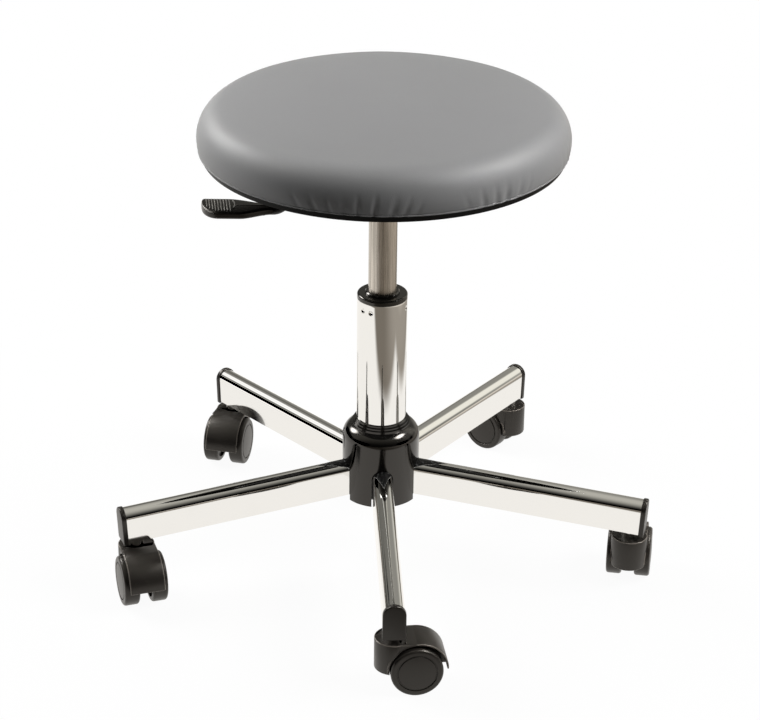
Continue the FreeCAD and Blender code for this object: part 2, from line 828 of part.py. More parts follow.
def make_caster_wheel(k, name, word, way):
    """Wheel drawn about Z with its outer face up, then laid on the axle."""
    wheel = new_body("caster_wheel_%s_%s" % (name, word))
    inner = S.wheel_inner_face
    outer = inner + S.wheel_width
    bore = S.axle_radius + S.running_fit
    rim = S.wheel_radius - S.wheel_round
    groove_in = wheel_groove_place - S.wheel_groove_width / 2
    groove_out = wheel_groove_place + S.wheel_groove_width / 2
    groove_floor = outer - S.wheel_groove_depth
    cap_edge = S.wheel_cap_radius + S.wheel_cap_rise
    revolve(wheel, [(bore, inner), (rim, inner, S.wheel_round),
                    (S.wheel_radius, inner + S.wheel_round),
                    (S.wheel_radius, outer - S.wheel_round, S.wheel_round), (rim, outer),
                    (groove_out, outer), (groove_out, groove_floor), (groove_in, groove_floor),
                    (groove_in, outer), (cap_edge, outer), (S.wheel_cap_radius, outer + S.wheel_cap_rise),
                    (0, outer + S.wheel_cap_rise), (0, outer - S.axle_cover), (bore, outer - S.axle_cover)])
    across, along = stem_point(k)
    turn = caster_turn(name)
    place(wheel, across + S.caster_trail * cosine(turn), along + S.caster_trail * sine(turn),
          S.wheel_radius, turned("Z", turn), turned("X", -90 * way))
    keep(wheel)


# Seat plate, socket and lever

def make_seat_plate():
    """Pressed plate with a dish that houses the lever, and two ears for the lever's pivot."""
    plate = new_body("seat_plate")
    half = S.plate_width / 2
    corner = S.plate_corner_radius
    straight = half - corner
    square = draw(plate, "XY_Plane", [
        (-straight, -half), (straight, -half, corner), (half, -straight), (half, straight, corner),
        (straight, half), (-straight, half, corner), (-half, straight), (-half, -straight, corner)])
    extrude(plate, square, "Pad", S.plate_thickness, start=plate_bottom)
    wall = S.plate_thickness
    revolve(plate, [(0, dish_bottom), (S.dish_floor_radius, dish_bottom), (dish_rim_radius, plate_bottom),
                    (dish_rim_radius, S.pan_height), (0, S.pan_height)])
    hole = taper_top_radius + S.screw_hole_gap
    groove(plate, [(0, dish_floor_top), (S.dish_floor_radius - wall, dish_floor_top),
                   (dish_rim_radius - wall, plate_bottom), (dish_rim_radius - wall, S.pan_height + wall),
                   (0, S.pan_height + wall)])
    groove(plate, [(0, dish_bottom - wall), (hole, dish_bottom - wall), (hole, dish_floor_top + wall),
                   (0, dish_floor_top + wall)])
    ear_in = S.lever_boss_length / 2 + S.body_gap
    ear_top = lever_pivot_height + S.lever_boss_radius
    ear_left = -S.lever_pivot_place - S.ear_width / 2
    for way in (1, -1):
        ear = draw(plate, "XZ_Plane", [
            (ear_left, dish_floor_top), (ear_left + S.ear_width, dish_floor_top),
            (ear_left + S.ear_width, ear_top), (ear_left, ear_top)])
        start = ear_in if way > 0 else -(ear_in + S.ear_thickness)
        extrude(plate, ear, "Pad", S.ear_thickness, start=start)
    pin_hole = cross_cylinder("pivot_hole", S.lever_pivot_radius + S.press_fit,
                              2 * dish_rim_radius, -S.lever_pivot_place, lever_pivot_height)
    gap = S.lever_rod_radius + S.body_gap
    reach = dish_rim_radius + S.lever_pivot_place
    rise = (dish_rim_radius - S.lever_pivot_place) * sine(S.lever_lift_angle)
    slot = box("lever_slot", reach, 2 * gap, 2 * gap + rise, -reach - S.lever_pivot_place, -gap,
               lever_pivot_height - gap)
    tools = [pin_hole, slot]
    for x, y in SCREW_CORNERS:
        tools.append(cylinder("plate_screw_hole_%d_%d" % (x, y), screw_hole_radius, S.dish_depth,
                              plate_bottom - S.overrun, x * screw_place, y * screw_place))
    spaces = doc.addObject("Part::MultiFuse", "seat_plate_spaces")
    spaces.Shapes = tools
    plate.Label = "seat_plate_body"
    keep(joined("seat_plate", "Cut", plate, spaces))


def make_taper_socket():
    socket = new_body("taper_socket")
    bore_low = S.cylinder_radius + S.press_fit
    share = S.taper_depth / (cylinder_top - taper_bottom)
    bore_high = bore_low - S.taper_draw * share
    outside = S.cylinder_radius + S.taper_wall
    revolve(socket, [(bore_low, taper_bottom), (outside, taper_bottom), (outside, dish_bottom),
                     (bore_high, dish_bottom)])
    keep(socket)


def bend_points(before, corner, after, radius):
    """Where an arc of the given radius leaves and meets the two runs at a corner."""
    (ax, az), (bx, bz), (cx, cz) = before, corner, after
    first = root((ax - bx) * (ax - bx) + (az - bz) * (az - bz))
    last = root((cx - bx) * (cx - bx) + (cz - bz) * (cz - bz))
    ux, uz = (ax - bx) / first, (az - bz) / first
    vx, vz = (cx - bx) / last, (cz - bz) / last
    dot = ux * vx + uz * vz
    back = radius * root((1 + dot) / (1 - dot))
    return (bx + ux * back, bz + uz * back), (bx + vx * back, bz + vz * back)


def make_lever_rod():
    """Bent rod: over the valve pin, through the dish's wall, then down to the handle."""
    nose = (S.lever_nose, lever_pivot_height)
    knee = (-S.lever_straight, lever_pivot_height)
    elbow = (-lever_elbow_place, lever_handle_height)
    end = (S.sleeve_floor - handle_neck_place - S.sleeve_length, lever_handle_height)
    knee_in, knee_out = bend_points(nose, knee, elbow, S.lever_bend_radius)
    elbow_in, elbow_out = bend_points(knee, elbow, end, S.lever_bend_radius)
    rod = new_body("lever_rod_body")
    path = draw(rod, "XZ_Plane", [nose, (*knee_in, S.lever_bend_radius), knee_out,
                                  (*elbow_in, -S.lever_bend_radius), elbow_out, end], closed=False)
    section = circle_sketch(rod, "YZ_Plane", 0, lever_pivot_height, S.lever_rod_radius)
    section.setExpression("AttachmentOffset.Base.z", S.lever_nose.text)
    pipe = rod.newObject("PartDesign::AdditivePipe", "lever_rod_pipe")
    pipe.Profile = section
    pipe.Spine = path
    rod.Tip = pipe
    boss = circle_sketch(rod, "XZ_Plane", -S.lever_pivot_place, lever_pivot_height, S.lever_boss_radius)
    extrude(rod, boss, "Pad", S.lever_boss_length, symmetric=True)
    bore = cross_cylinder("lever_bore", S.lever_pivot_radius + S.running_fit, 2 * S.lever_boss_length,
                          -S.lever_pivot_place, lever_pivot_height)
    keep(joined("lever_rod", "Cut", rod, bore))


def make_lever_handle():
    """Paddle with a blunt far corner and a rounder near one, on the sleeve that takes the rod's end."""
    handle = new_body("lever_paddle")
    neck = S.handle_neck_width / 2
    half = S.handle_width / 2
    tip = -handle_tip_place
    waist = -(handle_neck_place + S.handle_waist)
    far, near = S.handle_far_round, S.handle_near_round
    plan = draw(handle, "XY_Plane", [
        (-handle_neck_place, -neck), (-handle_neck_place, neck), (waist, half), (tip + far, half, far),
        (tip, half - far), (tip, near - half, near), (tip + near, -half), (waist, -half)])
    bottom = lever_handle_height + S.handle_rise - S.handle_thickness / 2
    pad = extrude(handle, plan, "Pad", S.handle_thickness, start=bottom)
    doc.recompute()
    level = [edge for edge, line in enumerate(pad.Shape.Edges, start=1)
             if line.BoundBox.ZLength < float(S.handle_thickness) / 2]
    rounding = handle.newObject("PartDesign::Fillet", "lever_handle_round")
    rounding.Base = (pad, ["Edge%d" % edge for edge in level])
    bind(rounding, Radius=S.handle_round)
    handle.Tip = rounding
    bore_radius = S.lever_rod_radius + S.press_fit
    sleeve = lever_cylinder("handle_sleeve", bore_radius + S.sleeve_wall, S.sleeve_length, 0)
    bore = lever_cylinder("handle_bore", bore_radius, S.sleeve_length - S.sleeve_floor + S.overrun, S.overrun)
    blank = joined("lever_handle_blank", "Fuse", handle, sleeve)
    keep(joined("lever_handle", "Cut", blank, bore))


def lever_cylinder(name, radius, length, back):
    """Cylinder on the rod's outer run, from the handle's neck outwards; back starts it that much inside."""
    thing = doc.addObject("Part::Cylinder", name)
    bind(thing, Radius=radius, Height=length)
    place(thing, back - handle_neck_place, 0, lever_handle_height, turned("Y", -90))
    return thing


def make_lever_pivot():
    """Headed pin through the ears and the lever's boss."""
    inside = S.lever_boss_length + 2 * (S.body_gap + S.ear_thickness)
    pin = cross_cylinder("pivot_pin", S.lever_pivot_radius, inside + 2 * S.lever_pivot_head,
                         -S.lever_pivot_place, lever_pivot_height)
    flanges = []
    for way in (1, -1):
        flange = doc.addObject("Part::Cylinder", "pivot_head_%d" % way)
        bind(flange, Radius=S.lever_pivot_radius + S.lever_pivot_head, Height=S.lever_pivot_head)
        place(flange, -S.lever_pivot_place, way * inside / 2, lever_pivot_height, turned("X", -90 * way))
        flanges.append(flange)
    pieces = doc.addObject("Part::MultiFuse", "lever_pivot")
    pieces.Shapes = [pin, *flanges]
    pieces.Label = "lever_pivot"
    keep(pieces)


# Seat

def screw_holes(name, radius, bottom, height):
    holes = [cylinder("%s_%d_%d" % (name, x, y), radius, height, bottom, x * screw_place, y * screw_place)
             for x, y in SCREW_CORNERS]
    tools = doc.addObject("Part::MultiFuse", name + "_all")
    tools.Shapes = holes
    return tools


def make_seat_pan():
    """Shallow plastic tray: a flared rim that the cover is tucked over, and a ring under the screws."""
    pan = new_body("seat_pan_body")
    rim = pan_radius + S.pan_flare
    floor = S.pan_height + S.pan_floor
    ring_in = screw_circle - S.pan_ring_width / 2
    ring_out = screw_circle + S.pan_ring_width / 2
    revolve(pan, [(0, S.pan_height), (pan_radius, S.pan_height), (rim, tuck_bottom),
                  (rim - S.pan_rim_width, tuck_bottom), (pan_radius - S.pan_rim_width, floor),
                  (ring_out, floor), (ring_out, board_bottom), (ring_in, board_bottom), (ring_in, floor),
                  (0, floor)])
    holes = screw_holes("pan_hole", screw_hole_radius, S.pan_height - S.overrun,
                        S.pan_rim_height + 2 * S.overrun)
    keep(joined("seat_pan", "Cut", pan, holes))


def make_seat_board():
    board = cylinder("seat_board_blank", board_radius, S.board_thickness, board_bottom)
    bores = screw_holes("board_hole", nut_radius + S.press_fit, board_bottom - S.overrun,
                        S.board_thickness + 2 * S.overrun)
    sinks = screw_holes("board_sink", S.nut_flange_radius + S.press_fit, board_top - S.nut_flange_thickness,
                        S.nut_flange_thickness + S.overrun)
    bored = joined("seat_board_bored", "Cut", board, bores)
    keep(joined("seat_board", "Cut", bored, sinks))


def seat_curve(inset, foot):
    """Cushion outline from the foot to the centre: drawn-in side, shoulder and crown, inset by a skin."""
    crown_up = seat_top - S.seat_crown_radius
    shoulder_across = S.seat_radius - S.seat_shoulder_radius
    between = S.seat_crown_radius - S.seat_shoulder_radius
    rise = root(between * between - shoulder_across * shoulder_across)
    shoulder_up = crown_up + rise
    fall = shoulder_up - tuck_bottom
    side_radius = (fall * fall + S.seat_draw_in * S.seat_draw_in) / (2 * S.seat_draw_in)
    side_across = S.seat_radius - side_radius
    crown = S.seat_crown_radius - inset
    shoulder = S.seat_shoulder_radius - inset
    side = side_radius - inset
    foot_fall = shoulder_up - foot
    foot_across = side_across + root(side * side - foot_fall * foot_fall)
    return [(foot_across, foot, side), (S.seat_radius - inset, shoulder_up, shoulder),
            (shoulder_across / between * crown, crown_up + rise / between * crown, crown),
            (0, seat_top - inset)]


def make_seat_foam():
    foam = new_body("seat_foam")
    revolve(foam, [(0, board_top), (board_radius, board_top), (board_radius, board_bottom)]
            + seat_curve(S.cover_thickness, board_bottom))
    keep(foam)


def backward(corners):
    """The same run of corners from its other end."""
    turned_round = []
    for k in range(len(corners) - 1, -1, -1):
        corner = corners[k][:2]
        if k > 0 and len(corners[k - 1]) > 2:
            corner = (*corner, -corners[k - 1][2])
        turned_round.append(corner)
    return turned_round


def make_seat_cover():
    """Upholstery skin over the foam, folded under the board."""
    cover = new_body("seat_cover")
    inner_edge = board_radius - S.cover_tuck
    revolve(cover, [(inner_edge, tuck_bottom)] + seat_curve(size(0.0), tuck_bottom)
            + backward(seat_curve(S.cover_thickness, board_bottom)) + [(inner_edge, board_bottom)])
    keep(cover)


def make_fasteners():
    screws = []
    nuts = []
    for x, y in SCREW_CORNERS:
        across, along = x * screw_place, y * screw_place
        tag = "_%d_%d" % (x, y)
        head = cylinder("screw_head" + tag, S.screw_head_radius, S.screw_head_height,
                        plate_bottom - S.screw_head_height, across, along)
        shank_bottom = plate_bottom - S.screw_head_height / 2
        shank = cylinder("screw_shank" + tag, S.screw_radius, board_top - shank_bottom, shank_bottom,
                         across, along)
        screws.append(joined("seat_screw" + tag, "Fuse", head, shank))
        barrel = cylinder("nut_barrel" + tag, nut_radius, S.board_thickness, board_bottom, across, along)
        flange = cylinder("nut_flange" + tag, S.nut_flange_radius, S.nut_flange_thickness,
                          board_top - S.nut_flange_thickness, across, along)
        blank = joined("nut_blank" + tag, "Fuse", barrel, flange)
        bore = cylinder("nut_bore" + tag, S.screw_radius + S.press_fit, S.board_thickness + 2 * S.overrun,
                        board_bottom - S.overrun, across, along)
        nuts.append(joined("t_nut" + tag, "Cut", blank, bore))
    keep(gathered("seat_screws", screws))
    keep(gathered("t_nuts", nuts))


# The whole stool

for index, leg in enumerate(LEG_NAMES):
    make_leg(index, leg)
    make_end_cap(index, leg)
    make_caster_hood(index, leg)
    make_caster_stem(index, leg)
    make_caster_axle(index, leg)
    make_caster_wheel(index, leg, "left", 1)
    make_caster_wheel(index, leg, "right", -1)
keep(gathered("stem_sockets", [make_socket(index, leg) for index, leg in enumerate(LEG_NAMES)]))
keep(gathered("leg_welds", [make_weld(index, leg) for index, leg in enumerate(LEG_NAMES)]))
make_hub()
make_hub_cover()
make_column_tube()
make_guide_bush()
make_gas_rod()
make_bump_stop()
make_bearing()
make_ring("rod_clip", S.rod_foot_radius + S.press_fit, S.clip_radius,
          tube_bottom - S.body_gap - S.clip_thickness, S.clip_thickness)
make_gas_cylinder()
make_valve_pin()
make_seat_plate()
make_taper_socket()
make_lever_rod()
make_lever_handle()
make_lever_pivot()
make_seat_pan()
make_seat_board()
make_seat_foam()
make_seat_cover()
make_fasteners()
doc.recompute()

faults = [item.Label for item in doc.Objects if "Invalid" in item.State or "Error" in item.State]
faults += [node.Label for node in nodes if node.Shape.isNull() or not node.Shape.isValid()]
if faults:
    raise RuntimeError("failed: " + ", ".join(faults))
os.makedirs("parts", exist_ok=True)
for node in nodes:
    node.Shape.exportStep("parts/%s.step" % node.Label)
    print("%-30s %d solids %12.1f mm3" % (node.Label, len(node.Shape.Solids), node.Shape.Volume))
print(len(nodes), "nodes")
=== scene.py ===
"""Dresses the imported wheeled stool: padded seat cover, casters, lever handle, column, finishes and studio."""

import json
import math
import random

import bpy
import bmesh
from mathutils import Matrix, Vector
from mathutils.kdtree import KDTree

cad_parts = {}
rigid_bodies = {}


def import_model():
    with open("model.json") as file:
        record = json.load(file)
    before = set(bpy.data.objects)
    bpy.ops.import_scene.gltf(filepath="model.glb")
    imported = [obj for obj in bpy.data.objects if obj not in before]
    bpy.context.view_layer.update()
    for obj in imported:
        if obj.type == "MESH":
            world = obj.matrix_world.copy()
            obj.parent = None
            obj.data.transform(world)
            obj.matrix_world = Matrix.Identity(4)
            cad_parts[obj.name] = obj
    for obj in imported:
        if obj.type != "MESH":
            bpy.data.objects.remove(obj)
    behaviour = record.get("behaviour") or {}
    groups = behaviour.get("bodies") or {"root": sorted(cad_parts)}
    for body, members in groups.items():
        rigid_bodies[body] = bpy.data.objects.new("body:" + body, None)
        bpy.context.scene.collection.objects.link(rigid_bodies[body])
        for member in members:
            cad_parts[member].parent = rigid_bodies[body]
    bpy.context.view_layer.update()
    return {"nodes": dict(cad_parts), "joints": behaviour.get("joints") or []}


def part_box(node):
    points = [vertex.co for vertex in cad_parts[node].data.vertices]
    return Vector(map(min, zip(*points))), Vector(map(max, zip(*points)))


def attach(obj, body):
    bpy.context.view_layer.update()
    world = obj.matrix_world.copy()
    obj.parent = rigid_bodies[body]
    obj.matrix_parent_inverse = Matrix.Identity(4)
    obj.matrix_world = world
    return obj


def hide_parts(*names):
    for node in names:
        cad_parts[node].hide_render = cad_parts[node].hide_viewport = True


bl_info = {
    "name": "Wheeled Stool Dresser",
    "version": (1, 1, 0),
    "blender": (4, 5, 0),
    "location": "3D View > Sidebar > Stool",
    "description": "Gives the packed wheeled stool its upholstery, moulded pieces, finishes and studio",
    "category": "Object",
}

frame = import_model()

LEG_NAMES = ("front", "right", "right_back", "left_back", "left")
SIDES = ("left", "right")
COVER_LOW, COVER_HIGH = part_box("seat_cover")
BOARD_LOW, BOARD_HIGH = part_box("seat_board")
HANDLE_LOW, HANDLE_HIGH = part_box("lever_handle")
TUBE_LOW, TUBE_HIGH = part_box("column_tube")
WHEEL_LOW, WHEEL_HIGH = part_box("caster_wheel_front_left")
WHEEL_RADIUS = (WHEEL_HIGH.z - WHEEL_LOW.z) / 2
JOINTS = {joint["name"]: joint for joint in frame["joints"]}
FRONT_STEM = Vector(JOINTS["caster_swivel_front"]["pos_m"])


# Sizes and colours that a user would change

def length(name, description, default):
    return bpy.props.FloatProperty(name=name, description=description, default=default, unit="LENGTH",
                                   precision=5)


def angle(name, description, degrees):
    return bpy.props.FloatProperty(name=name, description=description, default=math.radians(degrees),
                                   subtype="ANGLE")


def number(name, description, default):
    return bpy.props.FloatProperty(name=name, description=description, default=default)


def count(name, description, default):
    return bpy.props.IntProperty(name=name, description=description, default=default)


def colour(name, description, default):
    return bpy.props.FloatVectorProperty(name=name, description=description, default=default, subtype="COLOR",
                                         size=3)


class SeatSettings(bpy.types.PropertyGroup):
    radius: length("Radius", "Widest radius of the cushion", (COVER_HIGH.x - COVER_LOW.x) / 2)
    crown_radius: length("Crown Radius", "Radius of the crowned top", 1.3)
    shoulder_radius: length("Shoulder Radius", "Radius between top and side", 0.028)
    draw_in: length("Draw-in", "How far the side draws in at the pan", 0.002)
    hem: length("Hem", "Radius of the rolled lower edge", 0.0010)
    tuck: length("Tuck", "How far the cover runs under the board", 0.013)
    board_gap: length("Board Gap", "Between the cover and the board", 0.0003)
    voxel: length("Voxel", "Voxel size of the simulated pad", 0.0045)
    pressure: number("Pressure", "Inner pressure of the pad", 4.0)
    stiffness: number("Stiffness", "How hard the pad's skin resists stretch", 40.0)
    bending: number("Bending", "How hard the pad's skin resists folds", 4.0)
    frames: count("Frames", "Length of the simulation", 20)
    swell: length("Swell", "Most that a point may move in the simulation", 0.0008)
    evening: count("Evening", "Passes that even out the simulated swelling", 24)
    gather_height: length("Gather Height", "How high the gathers climb", 0.024)
    gather_depth: length("Gather Depth", "Depth of the deepest gather", 0.0024)
    gather_fan: number("Gather Fan", "How far a bunch of gathers spreads as it climbs", 0.22)
    stapled_height: length("Stapled Height", "How far above the hem the staples flatten the gathers", 0.007)
    colour: colour("Colour", "Leatherette", (0.285, 0.285, 0.288))


class CasterSettings(bpy.types.PropertyGroup):
    nose_radius: length("Nose Radius", "Radius of the hood round the stem", 0.018)
    half_width: length("Half Width", "Half the hood's width", 0.0175)
    top: length("Top", "Height of the hood above the floor", 0.054)
    nose_bottom: length("Nose Bottom", "Height of the nose's lower edge", 0.022)
    trail: length("Trail", "From the stem to the axle", 0.020)
    wheel_gap: length("Wheel Gap", "Between the wheel and the hood", 0.0022)
    flare: length("Flare", "How far the hood's back stands off towards its tail", 0.0016)
    web: length("Web", "Half thickness of the web between the wheels", 0.006)
    boss: length("Boss", "Radius of the web round the axle", 0.010)
    recess: length("Recess", "Depth of the dish round the stem", 0.0026)
    recess_reach: length("Recess Reach", "How far the dish runs behind the stem", 0.009)
    rim: length("Rim", "Width of the rim round that dish", 0.0018)
    edge: length("Edge", "Rounding of the moulded edges", 0.0009)
    merge: length("Merge", "Points of the hood closer than this become one", 0.00012)
    wheel_inner: length("Wheel Inner Face", "From the middle of the caster", 0.0064)
    wheel_outer: length("Wheel Outer Face", "From the middle of the caster", 0.0218)
    wheel_round: length("Wheel Round", "Rounding of the tread's edges", 0.0026)
    groove_radius: length("Groove Radius", "Radius of the ring groove in the wheel's face", 0.0186)
    groove_width: length("Groove Width", "Width of that groove", 0.0011)
    groove_depth: length("Groove Depth", "Depth of that groove", 0.0009)
    disc_dome: length("Disc Dome", "How far the wheel's disc stands out at its middle", 0.0007)
    bore: length("Bore", "Radius of the wheel's bore", 0.0032)
    cap_edge: length("Cap Edge", "Rounding of the end caps' edges", 0.0008)
    cap_merge: length("Cap Merge", "Points of a cap closer than this become one", 0.00001)
    colour: colour("Colour", "Moulded plastic", (0.026, 0.023, 0.020))


class HandleSettings(bpy.types.PropertyGroup):
    thickness: length("Thickness", "Thickness of the paddle", 0.0075)
    near_round: length("Near Round", "How far along the paddle its near corner is rounded", 0.018)
    near_rise: length("Near Rise", "How far across the tip its near corner is rounded", 0.026)
    far_round: length("Far Round", "Radius of the tip's far corner", 0.004)
    near_sweep: length("Near Sweep", "From the tip to where the near edge leaves for the neck", 0.038)
    far_sweep: length("Far Sweep", "From the tip to where the far edge leaves for the neck", 0.026)
    neck_half: length("Neck", "Half width of the neck", 0.0058)
    neck_reach: length("Neck Reach", "How far the neck runs on over the rod", 0.005)
    edge: length("Edge", "Rounding of the paddle's edges", 0.0024)
    crown: length("Crown", "How far the paddle's middle stands above its edges", 0.0008)
    sleeve_start: length("Sleeve Start", "From the tip to the sleeve", 0.034)
    sleeve_slant: length("Sleeve Slant", "How far the sleeve's inner end leans", 0.003)
    rod_radius: length("Rod Radius", "Radius of the rod in the sleeve", 0.004)
    rib_count: count("Ribs", "Number of grip ribs", 9)
    rib_pitch: length("Rib Pitch", "From one rib to the next", 0.00284)
    rib_first: length("First Rib", "From the tip to the first rib", 0.0056)
    rib_width: length("Rib Width", "Width of a rib", 0.0012)
    rib_rise: length("Rib Rise", "Height of a rib above the paddle", 0.00055)
    rib_half: length("Rib Half Length", "Half the length of a full rib", 0.0128)
    rib_inset: length("Rib Inset", "From the paddle's near edge to a rib's end", 0.0035)
    rib_slant: angle("Rib Slant", "Turn of the ribs from square", 7.5)
    line_gap: number("Line Gap", "From the last rib to the ridge's end, in rib pitches", 1.4)
    line_bow: number("Line Bow", "Radius of the ridge, in half rib lengths", 2.1)
    line_near: number("Line Near End", "Where the ridge starts across the paddle, in half rib lengths", -0.6)
    line_middle: number("Line Middle", "Where the ridge's centre lies across, in half rib lengths", -0.1)
    line_sweep: angle("Line Sweep", "How far the ridge turns", 38.0)
    lean: angle("Lean", "Turn of the paddle about its length, far edge up", 2.3)


class ColumnSettings(bpy.types.PropertyGroup):
    wall: length("Wall", "Wall of the column tube", 0.0020)
    lip: length("Lip", "Rounding of the tube's upper edge", 0.0005)
    dent_pairs: count("Dent Pairs", "Pairs of punched dents round the tube", 3)
    dent_drop: length("Dent Drop", "From the tube's top to the dents", 0.0085)
    dent_ball: length("Dent Ball", "Radius of the punch", 0.0034)
    dent_depth: length("Dent Depth", "Depth of a dent", 0.0014)
    dent_first: angle("First Dent", "Place of the first dent round the tube", -139.5)
    dent_step: angle("Dent Step", "Between the two dents of a pair", 22.5)


class MetalSettings(bpy.types.PropertyGroup):
    chrome: colour("Chrome", "Polished tubes", (0.87, 0.865, 0.85))
    nickel: colour("Nickel", "Gas cylinder", (0.56, 0.515, 0.46))
    steel: colour("Steel", "Stems, pins and bearing", (0.55, 0.55, 0.55))
    paint_reach: length("Paint Reach", "How far the hub's black paint runs along the top of a leg", 0.066)
    paint_taper: number("Paint Taper", "How fast that paint draws back towards a leg's sides", 3.4)
    paint_ragged: length("Paint Ragged", "How uneven the paint's end is", 0.006)


class StageSettings(bpy.types.PropertyGroup):
    camera_reach: length("Camera Reach", "From the camera to the point it looks at", 2.40656)
    camera_rise: angle("Camera Rise", "Angle above the level", 26.04)
    camera_roll: angle("Camera Roll", "Turn about the line of sight", 0.60)
    camera_aim: length("Aim Height", "Height of the point looked at", 0.221)
    lens: number("Lens", "Focal length in millimetres", 114.34)
    shift_x: number("Shift X", "Sideways shift of the lens, as a share of the frame", -0.002355)
    shift_y: number("Shift Y", "Upward shift of the lens, as a share of the frame", -0.009355)


# Shader maths

class Value:
    """A socket of a node tree, with the arithmetic that shaders need."""

    def __init__(self, nodes, socket):
        self.nodes = nodes
        self.socket = socket

    def math(self, operation, other=0.0, swap=False):
        values = [other, self] if swap else [self, other]
        return self.nodes.add("ShaderNodeMath", {"operation": operation}, {0: values[0], 1: values[1]})

    def __add__(self, other):
        return self.math("ADD", other)

    __radd__ = __add__

    def __sub__(self, other):
        return self.math("SUBTRACT", other)

    def __rsub__(self, other):
        return self.math("SUBTRACT", other, swap=True)

    def __mul__(self, other):
        return self.math("MULTIPLY", other)

    __rmul__ = __mul__

    def between(self, low, high):
        """0 at low, 1 at high, smooth between; low may be the larger."""
        return self.nodes.add("ShaderNodeMapRange", {"interpolation_type": "SMOOTHSTEP", "clamp": True},
                              {"Value": self, "From Min": low, "From Max": high})


class Nodes:
    """A node tree with a short way to add nodes to it."""

    def __init__(self, tree):
        self.tree = tree

    def put(self, socket, value):
        if isinstance(value, Value):
            self.tree.links.new(value.socket, socket)
        elif isinstance(value, (tuple, list)) and len(value) == 3 and len(socket.default_value) == 4:
            socket.default_value = (*value, 1.0)
        else:
            socket.default_value = value

    def add(self, kind, settings=None, inputs=None, out=0):
        node = self.tree.nodes.new(kind)
        for word, value in (settings or {}).items():
            setattr(node, word, value)
        for key, value in (inputs or {}).items():
            self.put(node.inputs[key], value)
        return Value(self, node.outputs[out]) if len(node.outputs) else node

    def axes(self, vector):
        parts = self.add("ShaderNodeSeparateXYZ", {}, {0: vector}).socket.node
        return [Value(self, socket) for socket in parts.outputs]

    def place(self, scale=(1, 1, 1)):
        """Object coordinates, stretched along the axes."""
        here = self.add("ShaderNodeTexCoord", out="Object")
        return self.add("ShaderNodeMapping", {}, {"Vector": here, "Scale": scale})

    def noise(self, scale, detail=3.0, roughness=0.5, at=None):
        return self.add("ShaderNodeTexNoise", {}, {"Vector": at or self.place(), "Scale": scale,
                                                   "Detail": detail, "Roughness": roughness})

    def cells(self, scale, at=None):
        return self.add("ShaderNodeTexVoronoi", {"feature": "SMOOTH_F1"},
                        {"Vector": at or self.place(), "Scale": scale, "Smoothness": 0.6})

    def blend(self, mask, low, high):
        return self.add("ShaderNodeMix", {"data_type": "RGBA"}, {0: mask, 6: low, 7: high}, out=2)

    def bump(self, height, distance, strength):
        return self.add("ShaderNodeBump", {}, {"Height": height, "Distance": distance, "Strength": strength})

    def path(self, word):
        """1 for one kind of ray, such as Camera or Glossy."""
        return self.add("ShaderNodeLightPath", out="Is %s Ray" % word)


class Finish(Nodes):
    """A material with one Principled shader."""

    def __init__(self, name, **shader):
        self.material = bpy.data.materials.new(name)
        self.material.use_nodes = True
        super().__init__(self.material.node_tree)
        self.shader = self.tree.nodes["Principled BSDF"]
        self.set(**shader)

    def set(self, **shader):
        for word, value in shader.items():
            self.put(self.shader.inputs[word.replace("_", " ").title().replace("Ior", "IOR")], value)


def shade(base, share):
    return tuple(channel * share for channel in base)


# Finishes

def leatherette(base):
    """Satin upholstery skin: fine pebbled grain, soft cloudy tone, a little more gloss on the high spots."""
    skin = Finish("leatherette", specular_ior_level=0.40)
    cloud = skin.noise(9.0, 4.0)
    fibre = skin.noise(260.0, 5.0, 0.65)
    pebble = skin.cells(950.0)
    skin.set(base_color=skin.blend(cloud * 0.6 + fibre * 0.4, shade(base, 0.93), shade(base, 1.07)),
             roughness=0.42 + fibre * 0.10 + pebble * 0.06)
    skin.set(normal=skin.bump(pebble * 0.7 + fibre * 0.3, 0.00008, 0.5))
    return skin.material


def chrome(base):
    """Polished chrome with faint hand marks."""
    plate = Finish("chrome", metallic=1.0, base_color=base)
    smear = plate.noise(34.0, 5.0, 0.6)
    plate.set(roughness=0.03 + smear.between(0.45, 0.75) * 0.05)
    return plate.material


def spatter_and_glints(nodes):
    """Height and colour of black paint over lumpy weld splashes; its small bright grains are painted glints."""
    grain = nodes.noise(430.0, 2.0, 0.5)
    return grain, nodes.blend(grain.between(0.56, 0.70), (0.004, 0.004, 0.004), (0.16, 0.16, 0.16))


def painted_chrome(metal):
    """Chromed leg whose inner end carries the hub's black paint, in a tongue along its top."""
    leg = Finish("leg_chrome")
    across, along, up = leg.axes(leg.place())
    reach = (across * across + along * along).math("SQRT")
    first = -math.atan2(FRONT_STEM.y, FRONT_STEM.x)
    step = math.tau / len(LEG_NAMES)
    turn = along.math("ARCTAN2", across) + (first + step / 2 + math.tau)
    off = turn.math("MODULO", step) - step / 2
    side = (reach * off.math("SINE")).math("ABSOLUTE")
    ragged = leg.noise(300.0, 4.0, 0.7)
    edge = metal.paint_reach - side * metal.paint_taper + ragged * metal.paint_ragged
    bare = (reach - edge).between(-0.0006, 0.0008)
    smear = leg.noise(34.0, 5.0, 0.6)
    # The paint's pale grains are painted glints on its bumps
    grit, paint = spatter_and_glints(leg)
    leg.set(base_color=leg.blend(bare, paint, tuple(metal.chrome)), metallic=bare,
            roughness=0.38 - bare * 0.32 + smear.between(0.45, 0.75) * 0.05)
    leg.set(normal=leg.bump(grit * (1 - bare), 0.0014, 1.0))
    return leg.material


